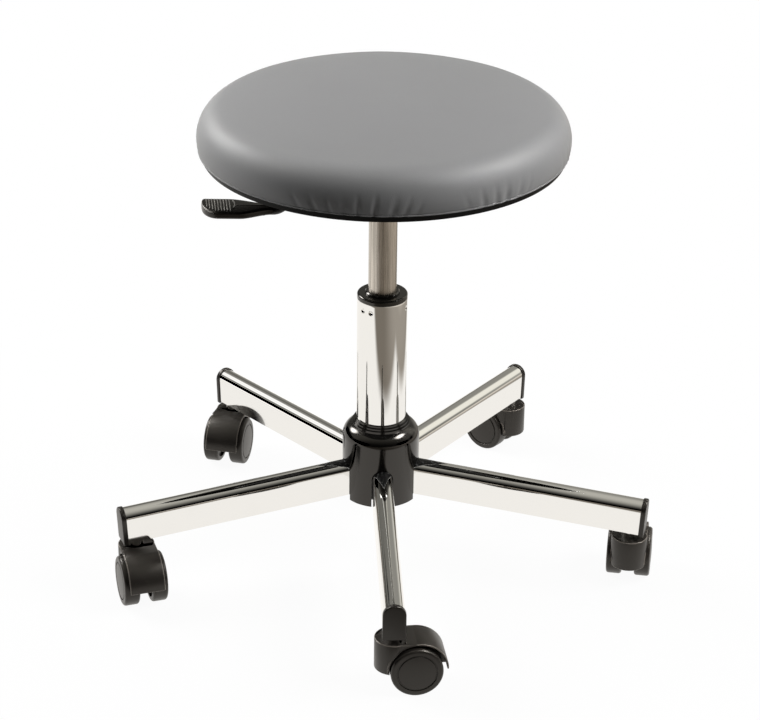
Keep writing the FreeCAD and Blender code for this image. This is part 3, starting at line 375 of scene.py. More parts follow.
def brushed_nickel(base):
    """Warm nickel with streaks drawn along the cylinder."""
    rod = Finish("brushed_nickel", metallic=1.0)
    lengthwise = rod.place((1.0, 1.0, 0.02))
    streak = rod.noise(900.0, 4.0, 0.7, lengthwise)
    band = rod.noise(230.0, 3.0, 0.6, lengthwise)
    mark = (streak * 0.45 + band * 0.55).between(0.30, 0.70)
    rod.set(base_color=rod.blend(mark, shade(base, 0.62), shade(base, 1.32)), roughness=0.20 + streak * 0.16)
    rod.set(normal=rod.bump(streak, 0.00006, 0.6))
    return rod.material


def steel(base):
    metal = Finish("plain_steel", metallic=1.0)
    turning = metal.noise(500.0, 3.0, 0.6, metal.place((1.0, 1.0, 3.0)))
    metal.set(base_color=metal.blend(turning, shade(base, 0.85), shade(base, 1.1)),
              roughness=0.25 + turning * 0.15)
    return metal.material


WARM_GLOSS = (1.0, 0.95, 0.89)


def moulded(name, base, gloss, grain, shine=0.5):
    """Injection-moulded plastic: spark-eroded grain, slight cloudiness and a few dusty rubs."""
    plastic = Finish(name, specular_ior_level=shine, specular_tint=WARM_GLOSS)
    cloud = plastic.noise(45.0, 4.0, 0.6)
    fine = plastic.noise(1500.0, 2.0, 0.6)
    rub = plastic.noise(240.0, 5.0, 0.75).between(0.56, 0.80) * cloud.between(0.42, 0.62)
    skin = plastic.blend(cloud, shade(base, 0.80), shade(base, 1.25))
    plastic.set(base_color=plastic.blend(rub * 0.55, skin, shade(base, 4.0)),
                roughness=gloss + fine * 0.08 + cloud * 0.06 + rub * 0.10)
    plastic.set(normal=plastic.bump(fine, 0.00004, grain))
    return plastic.material


def gloss_black(name, base, gloss, shine=0.5):
    """Smooth black plastic with the slight ripple of a moulded skin."""
    plastic = Finish(name, specular_ior_level=shine, specular_tint=WARM_GLOSS)
    ripple = plastic.noise(55.0, 2.0, 0.4)
    dust = plastic.noise(1200.0, 2.0, 0.6)
    plastic.set(base_color=plastic.blend(dust, shade(base, 0.8), shade(base, 1.3)),
                roughness=gloss + ripple * 0.06 + dust * 0.03)
    plastic.set(normal=plastic.bump(ripple, 0.0001, 0.3))
    return plastic.material


def black_paint():
    """Sprayed black over welds and pressings."""
    paint = Finish("black_paint", specular_ior_level=0.5)
    grit = paint.noise(600.0, 4.0, 0.7)
    paint.set(base_color=paint.blend(grit, (0.008, 0.008, 0.008), (0.020, 0.020, 0.020)),
              roughness=0.32 + grit * 0.2)
    paint.set(normal=paint.bump(grit, 0.0003, 0.5))
    return paint.material


def lumpy_paint():
    """The paint on the hub's welds."""
    paint = Finish("weld_paint", specular_ior_level=0.6)
    # The paint's pale grains are painted glints on its bumps
    grain, coat_and_glints = spatter_and_glints(paint)
    paint.set(base_color=coat_and_glints, roughness=0.30 + grain * 0.2)
    paint.set(normal=paint.bump(grain, 0.0014, 1.0))
    return paint.material


def rubber():
    skin = Finish("rubber", specular_ior_level=0.4)
    bloom = skin.noise(300.0, 4.0, 0.6)
    skin.set(base_color=skin.blend(bloom, (0.014, 0.014, 0.014), (0.03, 0.03, 0.03)),
             roughness=0.65 + bloom * 0.2)
    return skin.material


def plywood():
    """Birch ply: long grain on the face, dark glue lines through the thickness."""
    wood = Finish("plywood", roughness=0.6)
    grain = wood.noise(70.0, 5.0, 0.6, wood.place((0.08, 1.0, 1.0)))
    plies = wood.noise(420.0, 1.0, 0.3, wood.place((0.001, 0.001, 1.0)))
    wood.set(base_color=wood.blend(grain * 0.6 + plies * 0.4, (0.52, 0.36, 0.20), (0.74, 0.58, 0.38)))
    wood.set(normal=wood.bump(grain, 0.0002, 0.4))
    return wood.material


def foam():
    sponge = Finish("foam", specular_ior_level=0.2)
    pores = sponge.cells(600.0)
    sponge.set(base_color=sponge.blend(pores, (0.62, 0.55, 0.36), (0.86, 0.79, 0.58)),
               roughness=0.9 - pores * 0.1)
    sponge.set(normal=sponge.bump(pores, 0.0006, 0.8))
    return sponge.material


MATERIALS = {}


def finish_of(name):
    """A finish by name, made once from the scene's own settings."""
    if name not in MATERIALS:
        scene = bpy.context.scene
        metal, plastic = scene.stool_metal, tuple(scene.stool_caster.colour)
        makers = {
            "leatherette": lambda: leatherette(tuple(scene.stool_seat.colour)),
            "chrome": lambda: chrome(tuple(metal.chrome)),
            "leg_chrome": lambda: painted_chrome(metal),
            "nickel": lambda: brushed_nickel(tuple(metal.nickel)),
            "steel": lambda: steel(tuple(metal.steel)),
            "hood_plastic": lambda: moulded("hood_plastic", plastic, 0.28, 0.5),
            "wheel_plastic": lambda: moulded("wheel_plastic", plastic, 0.28, 0.4, 0.45),
            "cap_plastic": lambda: moulded("cap_plastic", shade(plastic, 0.55), 0.28, 0.5),
            # Pale edge plastic: partly wear, partly a painted highlight on the edges that face up
            "worn_edge": lambda: moulded("worn_edge", shade(plastic, 7.0), 0.24, 0.3),
            "weld_paint": lumpy_paint,
            "handle_plastic": lambda: gloss_black("handle_plastic", (0.010, 0.009, 0.008), 0.18),
            # Light grey on the black handle's ribs, ridge and tip edge: a painted highlight
            "rib_plastic": lambda: gloss_black("rib_plastic", (0.24, 0.23, 0.21), 0.20),
            "bell_plastic": lambda: gloss_black("bell_plastic", (0.006, 0.0055, 0.005), 0.09, 0.66),
            "pan_plastic": lambda: gloss_black("pan_plastic", (0.004, 0.004, 0.004), 0.30, 0.03),
            "black_paint": black_paint,
            "rubber": rubber,
            "plywood": plywood,
            "foam": foam,
        }
        MATERIALS[name] = makers[name]()
    return MATERIALS[name]


NODE_FINISHES = {
    "leg_chrome": ["leg_" + name for name in LEG_NAMES],
    "chrome": ["column_tube"] + ["caster_stem_" + name for name in LEG_NAMES],
    "cap_plastic": ["end_cap_" + name for name in LEG_NAMES],
    "hood_plastic": ["caster_hood_" + name for name in LEG_NAMES],
    "wheel_plastic": ["caster_wheel_%s_%s" % (name, side) for name in LEG_NAMES for side in SIDES],
    "steel": ["caster_axle_" + name for name in LEG_NAMES]
             + ["stem_sockets", "gas_rod", "rod_clip", "bearing_lower_washer", "bearing_upper_washer",
                "bearing_balls", "valve_pin", "lever_pivot", "seat_screws", "t_nuts"],
    "weld_paint": ["hub", "leg_welds"],
    "black_paint": ["seat_plate", "taper_socket", "lever_rod"],
    "bell_plastic": ["hub_cover", "guide_bush"],
    "pan_plastic": ["seat_pan"],
    "handle_plastic": ["lever_handle"],
    "nickel": ["gas_cylinder"],
    "rubber": ["bump_stop"],
    "plywood": ["seat_board"],
    "foam": ["seat_foam"],
    "leatherette": ["seat_cover"],
}


# Modelling helpers

def start_clean():
    if bpy.context.mode != "OBJECT":
        bpy.ops.object.mode_set(mode="OBJECT")
    bpy.ops.object.select_all(action="DESELECT")


def take(*things):
    """Selects these alone; the first is the active one."""
    start_clean()
    for thing in things:
        thing.select_set(True)
    bpy.context.view_layer.objects.active = things[0]


def named(name):
    """The object that an operator has just added, renamed."""
    thing = bpy.context.active_object
    thing.name = name
    thing.data.name = name
    return thing


def settle(thing):
    """Puts a piece's place into its mesh."""
    take(thing)
    bpy.ops.object.transform_apply(location=True, rotation=True, scale=True)


def drum(name, radius, depth, centre, turn=(0, 0, 0), vertices=96):
    start_clean()
    bpy.ops.mesh.primitive_cylinder_add(vertices=vertices, radius=radius, depth=depth, location=centre,
                                        rotation=turn)
    thing = named(name)
    settle(thing)
    return thing


def block(name, low, high, turn=0.0):
    """Box between two corners, turned about its own middle."""
    start_clean()
    centre = [(a + b) / 2 for a, b in zip(low, high)]
    bpy.ops.mesh.primitive_cube_add(size=1.0, location=centre, rotation=(0, 0, turn))
    thing = named(name)
    thing.scale = [b - a for a, b in zip(low, high)]
    settle(thing)
    return thing


def turned(name, outline, steps, apart=0.00002):
    """Spins an outline of (radius, height) about Z and merges the points that meet at its seam and axis."""
    start_clean()
    bpy.ops.mesh.primitive_plane_add(size=0.01)
    thing = named(name)
    bpy.ops.object.mode_set(mode="EDIT")
    bpy.ops.mesh.delete(type="VERT")
    form = bmesh.from_edit_mesh(thing.data)
    corners = [form.verts.new((radius, 0.0, up)) for radius, up in outline]
    for start, end in zip(corners, corners[1:]):
        form.edges.new((start, end))
    bmesh.update_edit_mesh(thing.data)
    bpy.ops.mesh.select_all(action="SELECT")
    bpy.ops.mesh.spin(steps=steps, angle=math.tau, center=(0, 0, 0), axis=(0, 0, 1))
    bpy.ops.mesh.select_all(action="SELECT")
    bpy.ops.mesh.remove_doubles(threshold=apart)
    bpy.ops.mesh.normals_make_consistent(inside=False)
    bpy.ops.object.mode_set(mode="OBJECT")
    return thing


def arc(centre, radius, start, end, steps):
    """Points round a centre, from one angle to another in degrees."""
    turns = [math.radians(start + (end - start) * step / steps) for step in range(steps + 1)]
    return [(centre[0] + radius * math.cos(turn), centre[1] + radius * math.sin(turn)) for turn in turns]


def combine(base, other, operation):
    """Boolean of two pieces; the other one is used up."""
    take(base)
    modifier = base.modifiers.new("joint", "BOOLEAN")
    modifier.operation = operation
    modifier.solver = "EXACT"
    modifier.object = other
    bpy.ops.object.modifier_apply(modifier=modifier.name)
    bpy.data.objects.remove(other, do_unlink=True)


def join(base, *others):
    take(base, *others)
    bpy.ops.object.join()
    return base


def apply(thing, kind, **settings):
    take(thing)
    modifier = thing.modifiers.new(kind.lower(), kind)
    for word, value in settings.items():
        setattr(modifier, word, value)
    bpy.ops.object.modifier_apply(modifier=modifier.name)


def tidy_mesh(thing, apart, flat=1.0):
    """Merges points that lie closer than that and clears edges that bend less than an angle in degrees."""
    take(thing)
    bpy.ops.object.mode_set(mode="EDIT")
    bpy.ops.mesh.select_all(action="SELECT")
    bpy.ops.mesh.remove_doubles(threshold=apart)
    bpy.ops.mesh.dissolve_limited(angle_limit=math.radians(flat))
    bpy.ops.mesh.normals_make_consistent(inside=False)
    bpy.ops.object.mode_set(mode="OBJECT")


def ease(thing, width, segments=3, sharpest=30.0, finish=-1, clamp=True):
    """Rounds a moulded piece's edges, in one of its finishes if a number is given."""
    apply(thing, "BEVEL", width=width, segments=segments, limit_method="ANGLE", material=finish,
          angle_limit=math.radians(sharpest), use_clamp_overlap=clamp, harden_normals=False)


def keep_worn_highlight(thing, lowest, downward=-0.75):
    """Leaves the lighter edge finish, partly wear and partly painted highlight, only on edges that don't face
    down and lie above a height.
    """
    for face in thing.data.polygons:
        if face.material_index and (face.normal.z < downward or face.center.z < lowest):
            face.material_index = 0


def smooth(thing, sharpest):
    """Shades smooth all edges that bend less than an angle in degrees."""
    take(thing)
    bpy.ops.object.shade_smooth_by_angle(angle=math.radians(sharpest))


def clad(thing, *finishes):
    thing.data.materials.clear()
    for finish in finishes:
        thing.data.materials.append(finish_of(finish))


def copy_of(thing, name, matrix):
    twin = thing.copy()
    twin.data = thing.data.copy()
    twin.name = name
    twin.data.name = name
    bpy.context.collection.objects.link(twin)
    twin.data.transform(matrix)
    return twin


def soft_step(value):
    value = min(max(value, 0.0), 1.0)
    return value * value * (3 - 2 * value)


def caster_place(name):
    """From a caster's own frame, with its stem at the origin and its trail along X, to where it stands."""
    stem = Vector(JOINTS["caster_swivel_" + name]["pos_m"])
    axle = Vector(JOINTS["wheel_spin_%s_left" % name]["pos_m"])
    turn = math.atan2(axle.y - stem.y, axle.x - stem.x)
    return Matrix.Translation((stem.x, stem.y, 0)) @ Matrix.Rotation(turn, 4, "Z")


# Pieces

class STOOL_OT_finishes(bpy.types.Operator):
    """Gives every carried-over part its finish"""
    bl_idname = "stool.finishes"
    bl_label = "Finishes"

    def execute(self, context):
        for finish, names in NODE_FINISHES.items():
            for name in names:
                clad(frame["nodes"][name], finish)
        return {"FINISHED"}


def seat_side(seat, foot, side_steps=22, shoulder_steps=16, crown_steps=16):
    """Cushion outline from a height on its side, up over the shoulder to the centre of the crown."""
    crown_up = COVER_HIGH.z - seat.crown_radius
    shoulder_across = seat.radius - seat.shoulder_radius
    between = seat.crown_radius - seat.shoulder_radius
    shoulder_up = crown_up + math.sqrt(between ** 2 - shoulder_across ** 2)
    fall = shoulder_up - COVER_LOW.z
    side_radius = (fall ** 2 + seat.draw_in ** 2) / (2 * seat.draw_in)
    lean = math.degrees(math.asin(shoulder_across / between))
    outline = []
    for step in range(side_steps):
        up = foot + (shoulder_up - foot) * step / side_steps
        inset = side_radius - math.sqrt(side_radius ** 2 - (shoulder_up - up) ** 2)
        outline.append((seat.radius - inset, up))
    outline += arc((shoulder_across, shoulder_up), seat.shoulder_radius, 0, 90 - lean, shoulder_steps)
    outline += arc((0.0, crown_up), seat.crown_radius, 90 - lean, 90, crown_steps)[1:]
    return outline


# Bunches of gathers round the cushion: middle and half width in degrees, strength
BUNCHES = ((-97, 18, 1.0), (-52, 12, 0.8), (-10, 10, 0.5), (38, 14, 0.7), (80, 18, 0.8), (133, 14, 0.6),
           (178, 12, 0.4))
# Least and most of a gather's half width in radians, its share of the depth, and the degrees to the next one
GATHER_HALF = (0.020, 0.034)
GATHER_SHARE = (0.45, 1.0)
GATHER_STEP = (3.2, 5.2)
# Strength that is left at a bunch's ends, and depth that is left at the stapled edge
BUNCH_END = 0.35
STAPLED_END = 0.45
# Most that crossing gathers add up to, and how a gather gets shallower as it climbs
GATHER_MOST = 1.2
GATHER_POWER = 1.2


def gather_table(seed=11):
    """Where the cover is gathered over the pan's edge: (angle, bunch's middle, half width, depth share)."""
    draw = random.Random(seed)
    table = []
    for middle, half, strength in BUNCHES:
        place = middle - half
        while place < middle + half:
            fade = math.cos((place - middle) / half * math.pi / 2)
            table.append((math.radians(place), math.radians(middle), draw.uniform(*GATHER_HALF),
                          strength * draw.uniform(*GATHER_SHARE) * (BUNCH_END + (1 - BUNCH_END) * fade)))
            place += draw.uniform(*GATHER_STEP)
    return table


class STOOL_OT_seat_cover(bpy.types.Operator):
    """Makes the upholstered cushion by inflating a pad, then gathers its edge over the pan"""
    bl_idname = "stool.seat_cover"
    bl_label = "Seat Cover"

    def execute(self, context):
        seat = context.scene.stool_seat
        cushion = self.skin(seat)
        self.inflate(cushion, seat, context.scene)
        self.gather(cushion, seat)
        clad(cushion, "leatherette")
        smooth(cushion, 60.0)
        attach(cushion, "seat")
        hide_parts("seat_cover", "seat_foam")
        return {"FINISHED"}

    def skin(self, seat):
        """Cushion with a bed for the board, a flap tucked under it and a rolled lower edge."""
        gap, hem = seat.board_gap, seat.hem
        foot = COVER_LOW.z
        bed = BOARD_HIGH.z + gap
        bed_radius = BOARD_HIGH.x + gap
        flap_top = BOARD_LOW.z - gap
        flap_radius = BOARD_HIGH.x - seat.tuck
        edge = seat.radius - seat.draw_in
        outline = [(0.0, bed), (bed_radius / 2, bed), (bed_radius, bed), (bed_radius, flap_top),
                   (flap_radius, flap_top), (flap_radius, foot), (edge - hem / 4, foot)]
        outline += arc((edge - hem / 4, foot + hem), hem, -60, 80, 8)
        outline += seat_side(seat, foot + 2.2 * hem)
        return turned("seat_cushion", outline, 720)

    def inflate(self, cushion, seat, scene, neighbours=12, spread=1.6):
        """Inflates a closed pad of the cushion's outer form and carries its swelling over to the cushion."""
        foot = COVER_LOW.z
        pad = turned("seat_pad", [(0.0, foot)] + seat_side(seat, foot, 8, 8, 10), 144)
        apply(pad, "REMESH", mode="VOXEL", voxel_size=seat.voxel)
        held = pad.vertex_groups.new(name="held")
        base = [vertex.index for vertex in pad.data.vertices if vertex.co.z < foot + seat.voxel]
        held.add(base, 1.0, "REPLACE")
        before = [vertex.co.copy() for vertex in pad.data.vertices]
        cloth = pad.modifiers.new("cloth", "CLOTH")
        cloth.settings.use_pressure = True
        cloth.settings.uniform_pressure_force = seat.pressure
        cloth.settings.effector_weights.gravity = 0.0
        cloth.settings.vertex_group_mass = "held"
        cloth.settings.tension_stiffness = seat.stiffness
        cloth.settings.compression_stiffness = seat.stiffness
        cloth.settings.bending_stiffness = seat.bending
        cloth.collision_settings.use_collision = False
        cloth.point_cache.frame_start, cloth.point_cache.frame_end = 1, seat.frames
        for step in range(1, seat.frames + 1):
            scene.frame_set(step)
        take(pad)
        bpy.ops.object.modifier_apply(modifier="cloth")
        scene.frame_set(1)
        moves = KDTree(len(before))
        shifts = []
        for vertex, was in zip(pad.data.vertices, before):
            shift = vertex.co - was
            if shift.length > seat.swell:
                shift = shift.normalized() * seat.swell
            shifts.append(shift)
            moves.insert(was, vertex.index)
        moves.balance()
        pairs = [tuple(edge.vertices) for edge in pad.data.edges]
        for turn in range(seat.evening):
            shifts = self.evened(shifts, pairs)
        bpy.data.objects.remove(pad, do_unlink=True)
        bed = BOARD_HIGH.z + 2 * seat.board_gap
        for vertex in cushion.data.vertices:
            if vertex.co.z < bed and vertex.co.xy.length < seat.radius - 2 * seat.draw_in:
                continue
            hold = soft_step((vertex.co.z - foot) / seat.gather_height)
            near = moves.find_n(vertex.co, neighbours)
            weights = [math.exp(-(apart / (spread * seat.voxel)) ** 2) for place, index, apart in near]
            shift = sum((shifts[item[1]] * weight for item, weight in zip(near, weights)), Vector())
            vertex.co += shift * (hold / sum(weights))

    def evened(self, shifts, pairs):
        """Mean of each point's shift and its neighbours' shifts."""
        sums = [shift.copy() for shift in shifts]
        shares = [1] * len(shifts)
        for start, end in pairs:
            sums[start] += shifts[end]
            sums[end] += shifts[start]
            shares[start] += 1
            shares[end] += 1
        return [total / share for total, share in zip(sums, shares)]

    def gather(self, cushion, seat):
        """Presses small uneven gathers into the lower side."""
        foot = COVER_LOW.z
        table = gather_table()
        for vertex in cushion.data.vertices:
            across, along, up = vertex.co
            radius = math.hypot(across, along)
            climb = 1.0 - (up - foot) / seat.gather_height
            if radius < seat.radius - 3 * seat.draw_in or climb < 0.0:
                continue
            turn = math.atan2(along, across)
            depth = 0.0
            for centre, middle, half, share in table:
                place = centre + (centre - middle) * seat.gather_fan * (1.0 - climb)
                off = (turn - place + math.pi) % math.tau - math.pi
                if abs(off) < half:
                    depth += share * (0.5 + 0.5 * math.cos(math.pi * off / half)) * climb ** GATHER_POWER
            free = soft_step((up - foot) / seat.stapled_height)
            press = seat.gather_depth * min(depth, GATHER_MOST) * (STAPLED_END + (1 - STAPLED_END) * free)
            vertex.co.x -= press * across / radius
            vertex.co.y -= press * along / radius


class STOOL_OT_caster_hoods(bpy.types.Operator):
    """Models one moulded caster hood and sets a copy over each pair of wheels"""
    bl_idname = "stool.caster_hoods"
    bl_label = "Caster Hoods"

    def execute(self, context):
        hood = self.moulding(context.scene.stool_caster)
        for name in LEG_NAMES:
            twin = copy_of(hood, "hood_" + name, caster_place(name))
            smooth(twin, 40.0)
            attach(twin, "caster_" + name)
            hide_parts("caster_hood_" + name)
        bpy.data.objects.remove(hood, do_unlink=True)
        return {"FINISHED"}

    def moulding(self, caster):
        """Nose, back and bridge in one, with room for the wheels, a web between them and a dished top."""
        axle = (caster.trail, 0.0, WHEEL_RADIUS)
        outer = caster.top - WHEEL_RADIUS
        wide = 2 * caster.half_width
        across = (math.pi / 2, 0, 0)
        nose_depth = caster.top - caster.nose_bottom
        nose_middle = (0, 0, caster.nose_bottom + nose_depth / 2)
        hood = drum("hood_master", caster.nose_radius, nose_depth, nose_middle)
        back = drum("hood_back", outer, wide, (caster.trail + caster.flare, 0.0, WHEEL_RADIUS), across, 128)
        far = 3 * outer
        combine(back, block("hood_below", (-far, -far, -far), (far, far, WHEEL_RADIUS)), "DIFFERENCE")
        combine(hood, back, "UNION")
        bridge = block("hood_bridge", (0.0, -caster.half_width, caster.nose_bottom),
                       (caster.trail, caster.half_width, caster.top))
        combine(hood, bridge, "UNION")
        space = WHEEL_RADIUS + caster.wheel_gap
        for way in (1, -1):
            centre = (axle[0] + caster.flare, way * (caster.web + wide / 2), axle[2])
            combine(hood, drum("hood_space", space, wide, centre, across, 128), "DIFFERENCE")
        combine(hood, drum("hood_boss", caster.boss, 2 * caster.web, axle, across, 64), "UNION")
        dish = drum("hood_dish", caster.nose_radius - caster.rim, 2 * caster.recess, (0, 0, caster.top))
        combine(dish, block("dish_end", (caster.recess_reach, -far, 0), (far, far, far)), "DIFFERENCE")
        combine(hood, dish, "DIFFERENCE")
        # Rounded edges that don't face down take the pale edge finish: partly wear, partly painted highlight
        clad(hood, "hood_plastic", "worn_edge")
        tidy_mesh(hood, caster.merge)
        ease(hood, caster.edge, finish=1, clamp=False)
        keep_worn_highlight(hood, caster.nose_bottom + caster.edge / 2)
        return hood


class STOOL_OT_end_caps(bpy.types.Operator):
    """Rounds the moulded edges of the caps that close the legs"""
    bl_idname = "stool.end_caps"
    bl_label = "End Caps"

    def execute(self, context):
        caster = context.scene.stool_caster
        for name in LEG_NAMES:
            node = "end_cap_" + name
            cap = bpy.data.objects.new("cap_" + name, frame["nodes"][node].data.copy())
            context.collection.objects.link(cap)
            tidy_mesh(cap, caster.cap_merge)
            # The rounded edges take the lighter hood plastic: a painted highlight along the cap's edges
            clad(cap, "cap_plastic", "hood_plastic")
            for face in cap.data.polygons:
                face.material_index = 0
            ease(cap, caster.cap_edge, 2, finish=1)
            smooth(cap, 40.0)
            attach(cap, "base")
            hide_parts(node)
        return {"FINISHED"}


class STOOL_OT_caster_wheels(bpy.types.Operator):
    """Turns one caster wheel with its grooved face and sets a copy on each end of every axle"""
    bl_idname = "stool.caster_wheels"
    bl_label = "Caster Wheels"

    def execute(self, context):
        caster = context.scene.stool_caster
        wheel = turned("wheel_master", self.outline(caster), 112)
        on_axle = Matrix.Translation((caster.trail, 0, WHEEL_RADIUS))
        for name in LEG_NAMES:
            stand = caster_place(name)
            for side in SIDES:
                node = "caster_wheel_%s_%s" % (name, side)
                low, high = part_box(node)
                way = 1 if (stand.inverted() @ ((low + high) / 2)).y > 0 else -1
                lay = stand @ on_axle @ Matrix.Rotation(-way * math.pi / 2, 4, "X")
                twin = copy_of(wheel, "wheel_%s_%s" % (name, side), lay)
                clad(twin, "wheel_plastic")
                smooth(twin, 28.0)
                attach(twin, "wheel_%s_%s" % (name, side))
                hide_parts(node)
        bpy.data.objects.remove(wheel, do_unlink=True)
        return {"FINISHED"}

    def outline(self, caster):
        """Half section from the bore to the disc's middle: (radius, distance from the caster's middle)."""
        inner, outer, bend = caster.wheel_inner, caster.wheel_outer, caster.wheel_round
        rim = WHEEL_RADIUS - bend
        groove_in = caster.groove_radius - caster.groove_width / 2
        groove_out = caster.groove_radius + caster.groove_width / 2
        floor = outer - caster.groove_depth
        chamfer = caster.groove_width / 3
        bore_end = outer - 3 * caster.groove_width
        pocket = inner + bend
        section = [(0.0, bore_end), (caster.bore, bore_end), (caster.bore, inner), (caster.boss, inner),
                   (caster.boss + chamfer, pocket), (rim - bend, pocket), (rim - bend + chamfer, inner)]
        section += arc((rim, inner + bend), bend, -90, 0, 6)
        section += arc((rim, outer - bend), bend, 0, 90, 6)
        section += [(groove_out + chamfer, outer), (groove_out, outer - chamfer), (groove_out, floor),
                    (groove_in, floor), (groove_in, outer - chamfer), (groove_in - chamfer, outer)]
        for share in (0.85, 0.7, 0.5, 0.3, 0.15, 0.0):
            section.append((groove_in * share, outer + caster.disc_dome * (1 - share ** 2)))
        return section


class STOOL_OT_lever_handle(bpy.types.Operator):
    """Models the ribbed paddle of the lever and the sleeve that takes the rod"""
    bl_idname = "stool.lever_handle"
    bl_label = "Lever Handle"

    def execute(self, context):
        grip = context.scene.stool_handle
        handle = self.paddle(grip)
        # Ribs, ridge and a line along the tip take light grey: a painted highlight on the black handle
        clad(handle, "handle_plastic", "rib_plastic")
        self.paint_tip_highlight(handle, grip)
        bars = [self.frame_line(grip)] + self.ribs(grip)
        for bar in bars:
            clad(bar, "rib_plastic")
        sleeve = self.sleeve(grip)
        clad(sleeve, "handle_plastic")
        join(handle, sleeve, *bars)
        hinge = Matrix.Translation((0, HANDLE_LOW.y, HANDLE_LOW.z))
        handle.data.transform(hinge @ Matrix.Rotation(grip.lean, 4, "X") @ hinge.inverted())
        smooth(handle, 40.0)
        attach(handle, "lever")
        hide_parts("lever_handle")
        return {"FINISHED"}

    def edges(self, grip, along):
        """Near and far edge of the paddle, at a distance from its tip."""
        reach = HANDLE_HIGH.x - HANDLE_LOW.x + grip.neck_reach
        half = HANDLE_HIGH.y
        near, far = -half, half
        if along < grip.near_round:
            near += grip.near_rise * (1 - math.sqrt(1 - (1 - along / grip.near_round) ** 2))
        if along < grip.far_round:
            far -= grip.far_round - math.sqrt(grip.far_round ** 2 - (grip.far_round - along) ** 2)
        near += (half - grip.neck_half) * soft_step((along - grip.near_sweep) / (reach - grip.near_sweep))
        far -= (half - grip.neck_half) * soft_step((along - grip.far_sweep) / (reach - grip.far_sweep))
        return near, far

    def paddle(self, grip, cuts=43, tip_pace=0.06):
        """Box whose cross sections become rounded rectangles between the paddle's two edges."""
        top = HANDLE_HIGH.z - grip.rib_rise
        low = Vector((HANDLE_LOW.x, HANDLE_LOW.y, top - grip.thickness))
        high = Vector((HANDLE_HIGH.x + grip.neck_reach, HANDLE_HIGH.y, top))
        handle = block("lever_paddle", low, high)
        take(handle)
        bpy.ops.object.mode_set(mode="EDIT")
        bpy.ops.mesh.select_all(action="SELECT")
        bpy.ops.mesh.subdivide(number_cuts=cuts)
        bpy.ops.object.mode_set(mode="OBJECT")
        reach = high.x - low.x
        middle_up = (low.z + high.z) / 2
        for vertex in handle.data.vertices:
            share = (vertex.co.x - low.x) / reach
            along = reach * (tip_pace * share + (1 - tip_pace) * share ** 2)
            near, far = self.edges(grip, along)
            tall = grip.thickness / 2
            if along < grip.edge:
                tall -= grip.edge - math.sqrt(grip.edge ** 2 - (grip.edge - along) ** 2)
            half = (far - near) / 2
            across = vertex.co.y / high.y
            up = (vertex.co.z - middle_up) / (grip.thickness / 2)
            bend = min(grip.edge, tall, half)
            core_y = max(-half + bend, min(half - bend, across * half))
            core_z = max(-tall + bend, min(tall - bend, up * tall))
            out = Vector((0, across * half - core_y, up * tall - core_z))
            if out.length > 0:
                out = out.normalized() * bend
            crown = grip.crown * (1 - across ** 2) * (up + 1) / 2
            vertex.co = (low.x + along, (near + far) / 2 + core_y + out.y,
                         middle_up + core_z + out.z + crown - grip.crown)
        return handle

    def paint_tip_highlight(self, handle, grip, share=0.8, steepest=0.30, flattest=0.80, forward=-0.3):
        """Painted highlight: a pale line along the rounded upper edge of the tip."""
        for face in handle.data.polygons:
            near_tip = face.center.x - HANDLE_LOW.x < grip.near_round * share
            if near_tip and steepest < face.normal.z < flattest and face.normal.x < forward:
                face.material_index = 1

    def sleeve(self, grip):
        """Round sleeve under the paddle, cut at a slant where the rod goes in."""
        start = HANDLE_LOW.x + grip.sleeve_start
        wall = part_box("lever_rod")[0].z - HANDLE_LOW.z
        radius = wall + grip.rod_radius
        axis_up = HANDLE_LOW.z + radius
        end = HANDLE_HIGH.x
        middle = ((start + end) / 2, 0, axis_up)
        tube = drum("handle_sleeve", radius, end - start, middle, (0, math.pi / 2, 0), 64)
        take(tube)
        bpy.ops.object.mode_set(mode="EDIT")
        bpy.ops.mesh.select_all(action="SELECT")
        lean = Vector((2 * radius, 0, grip.sleeve_slant)).normalized()
        bpy.ops.mesh.bisect(plane_co=(end - grip.sleeve_slant / 2, 0, axis_up), plane_no=(lean.x, 0, -lean.z),
                            use_fill=True, clear_outer=True)
        bpy.ops.object.mode_set(mode="OBJECT")
        ease(tube, grip.edge / 4, 2)
        return tube

    def ribs(self, grip):
        """Slanted bars across the paddle's top, which end short of its near edge."""
        top = HANDLE_HIGH.z
        bars = []
        for k in range(grip.rib_count):
            along = grip.rib_first + k * grip.rib_pitch
            near = max(-grip.rib_half, self.edges(grip, along)[0] + grip.rib_inset)
            middle_x = HANDLE_LOW.x + along
            low = (middle_x - grip.rib_width / 2, near, top - 3 * grip.rib_rise)
            high = (middle_x + grip.rib_width / 2, grip.rib_half, top)
            bar = block("paddle_rib", low, high, grip.rib_slant)
            ease(bar, grip.rib_width / 3, 2)
            bars.append(bar)
        return bars

    def frame_line(self, grip):
        """Curved ridge that closes the ribbed field towards the neck."""
        top = HANDLE_HIGH.z
        end = HANDLE_LOW.x + grip.rib_first + (grip.rib_count - 1 + grip.line_gap) * grip.rib_pitch
        swing = grip.line_bow * grip.rib_half
        start_clean()
        start = (end, grip.line_near * grip.rib_half, top - grip.rib_rise)
        bpy.ops.mesh.primitive_plane_add(size=1.0, location=start, rotation=(math.pi / 2, 0, 0))
        line = named("paddle_line")
        line.scale = (grip.rib_width, 2 * grip.rib_rise, 1)
        settle(line)
        centre = (end - swing, grip.line_middle * grip.rib_half, top)
        bpy.ops.object.mode_set(mode="EDIT")
        bpy.ops.mesh.select_all(action="SELECT")
        bpy.ops.mesh.spin(steps=16, angle=-grip.line_sweep, center=centre, axis=(0, 0, 1))
        bpy.ops.mesh.select_all(action="SELECT")
        bpy.ops.mesh.normals_make_consistent(inside=False)
        bpy.ops.object.mode_set(mode="OBJECT")
        return line


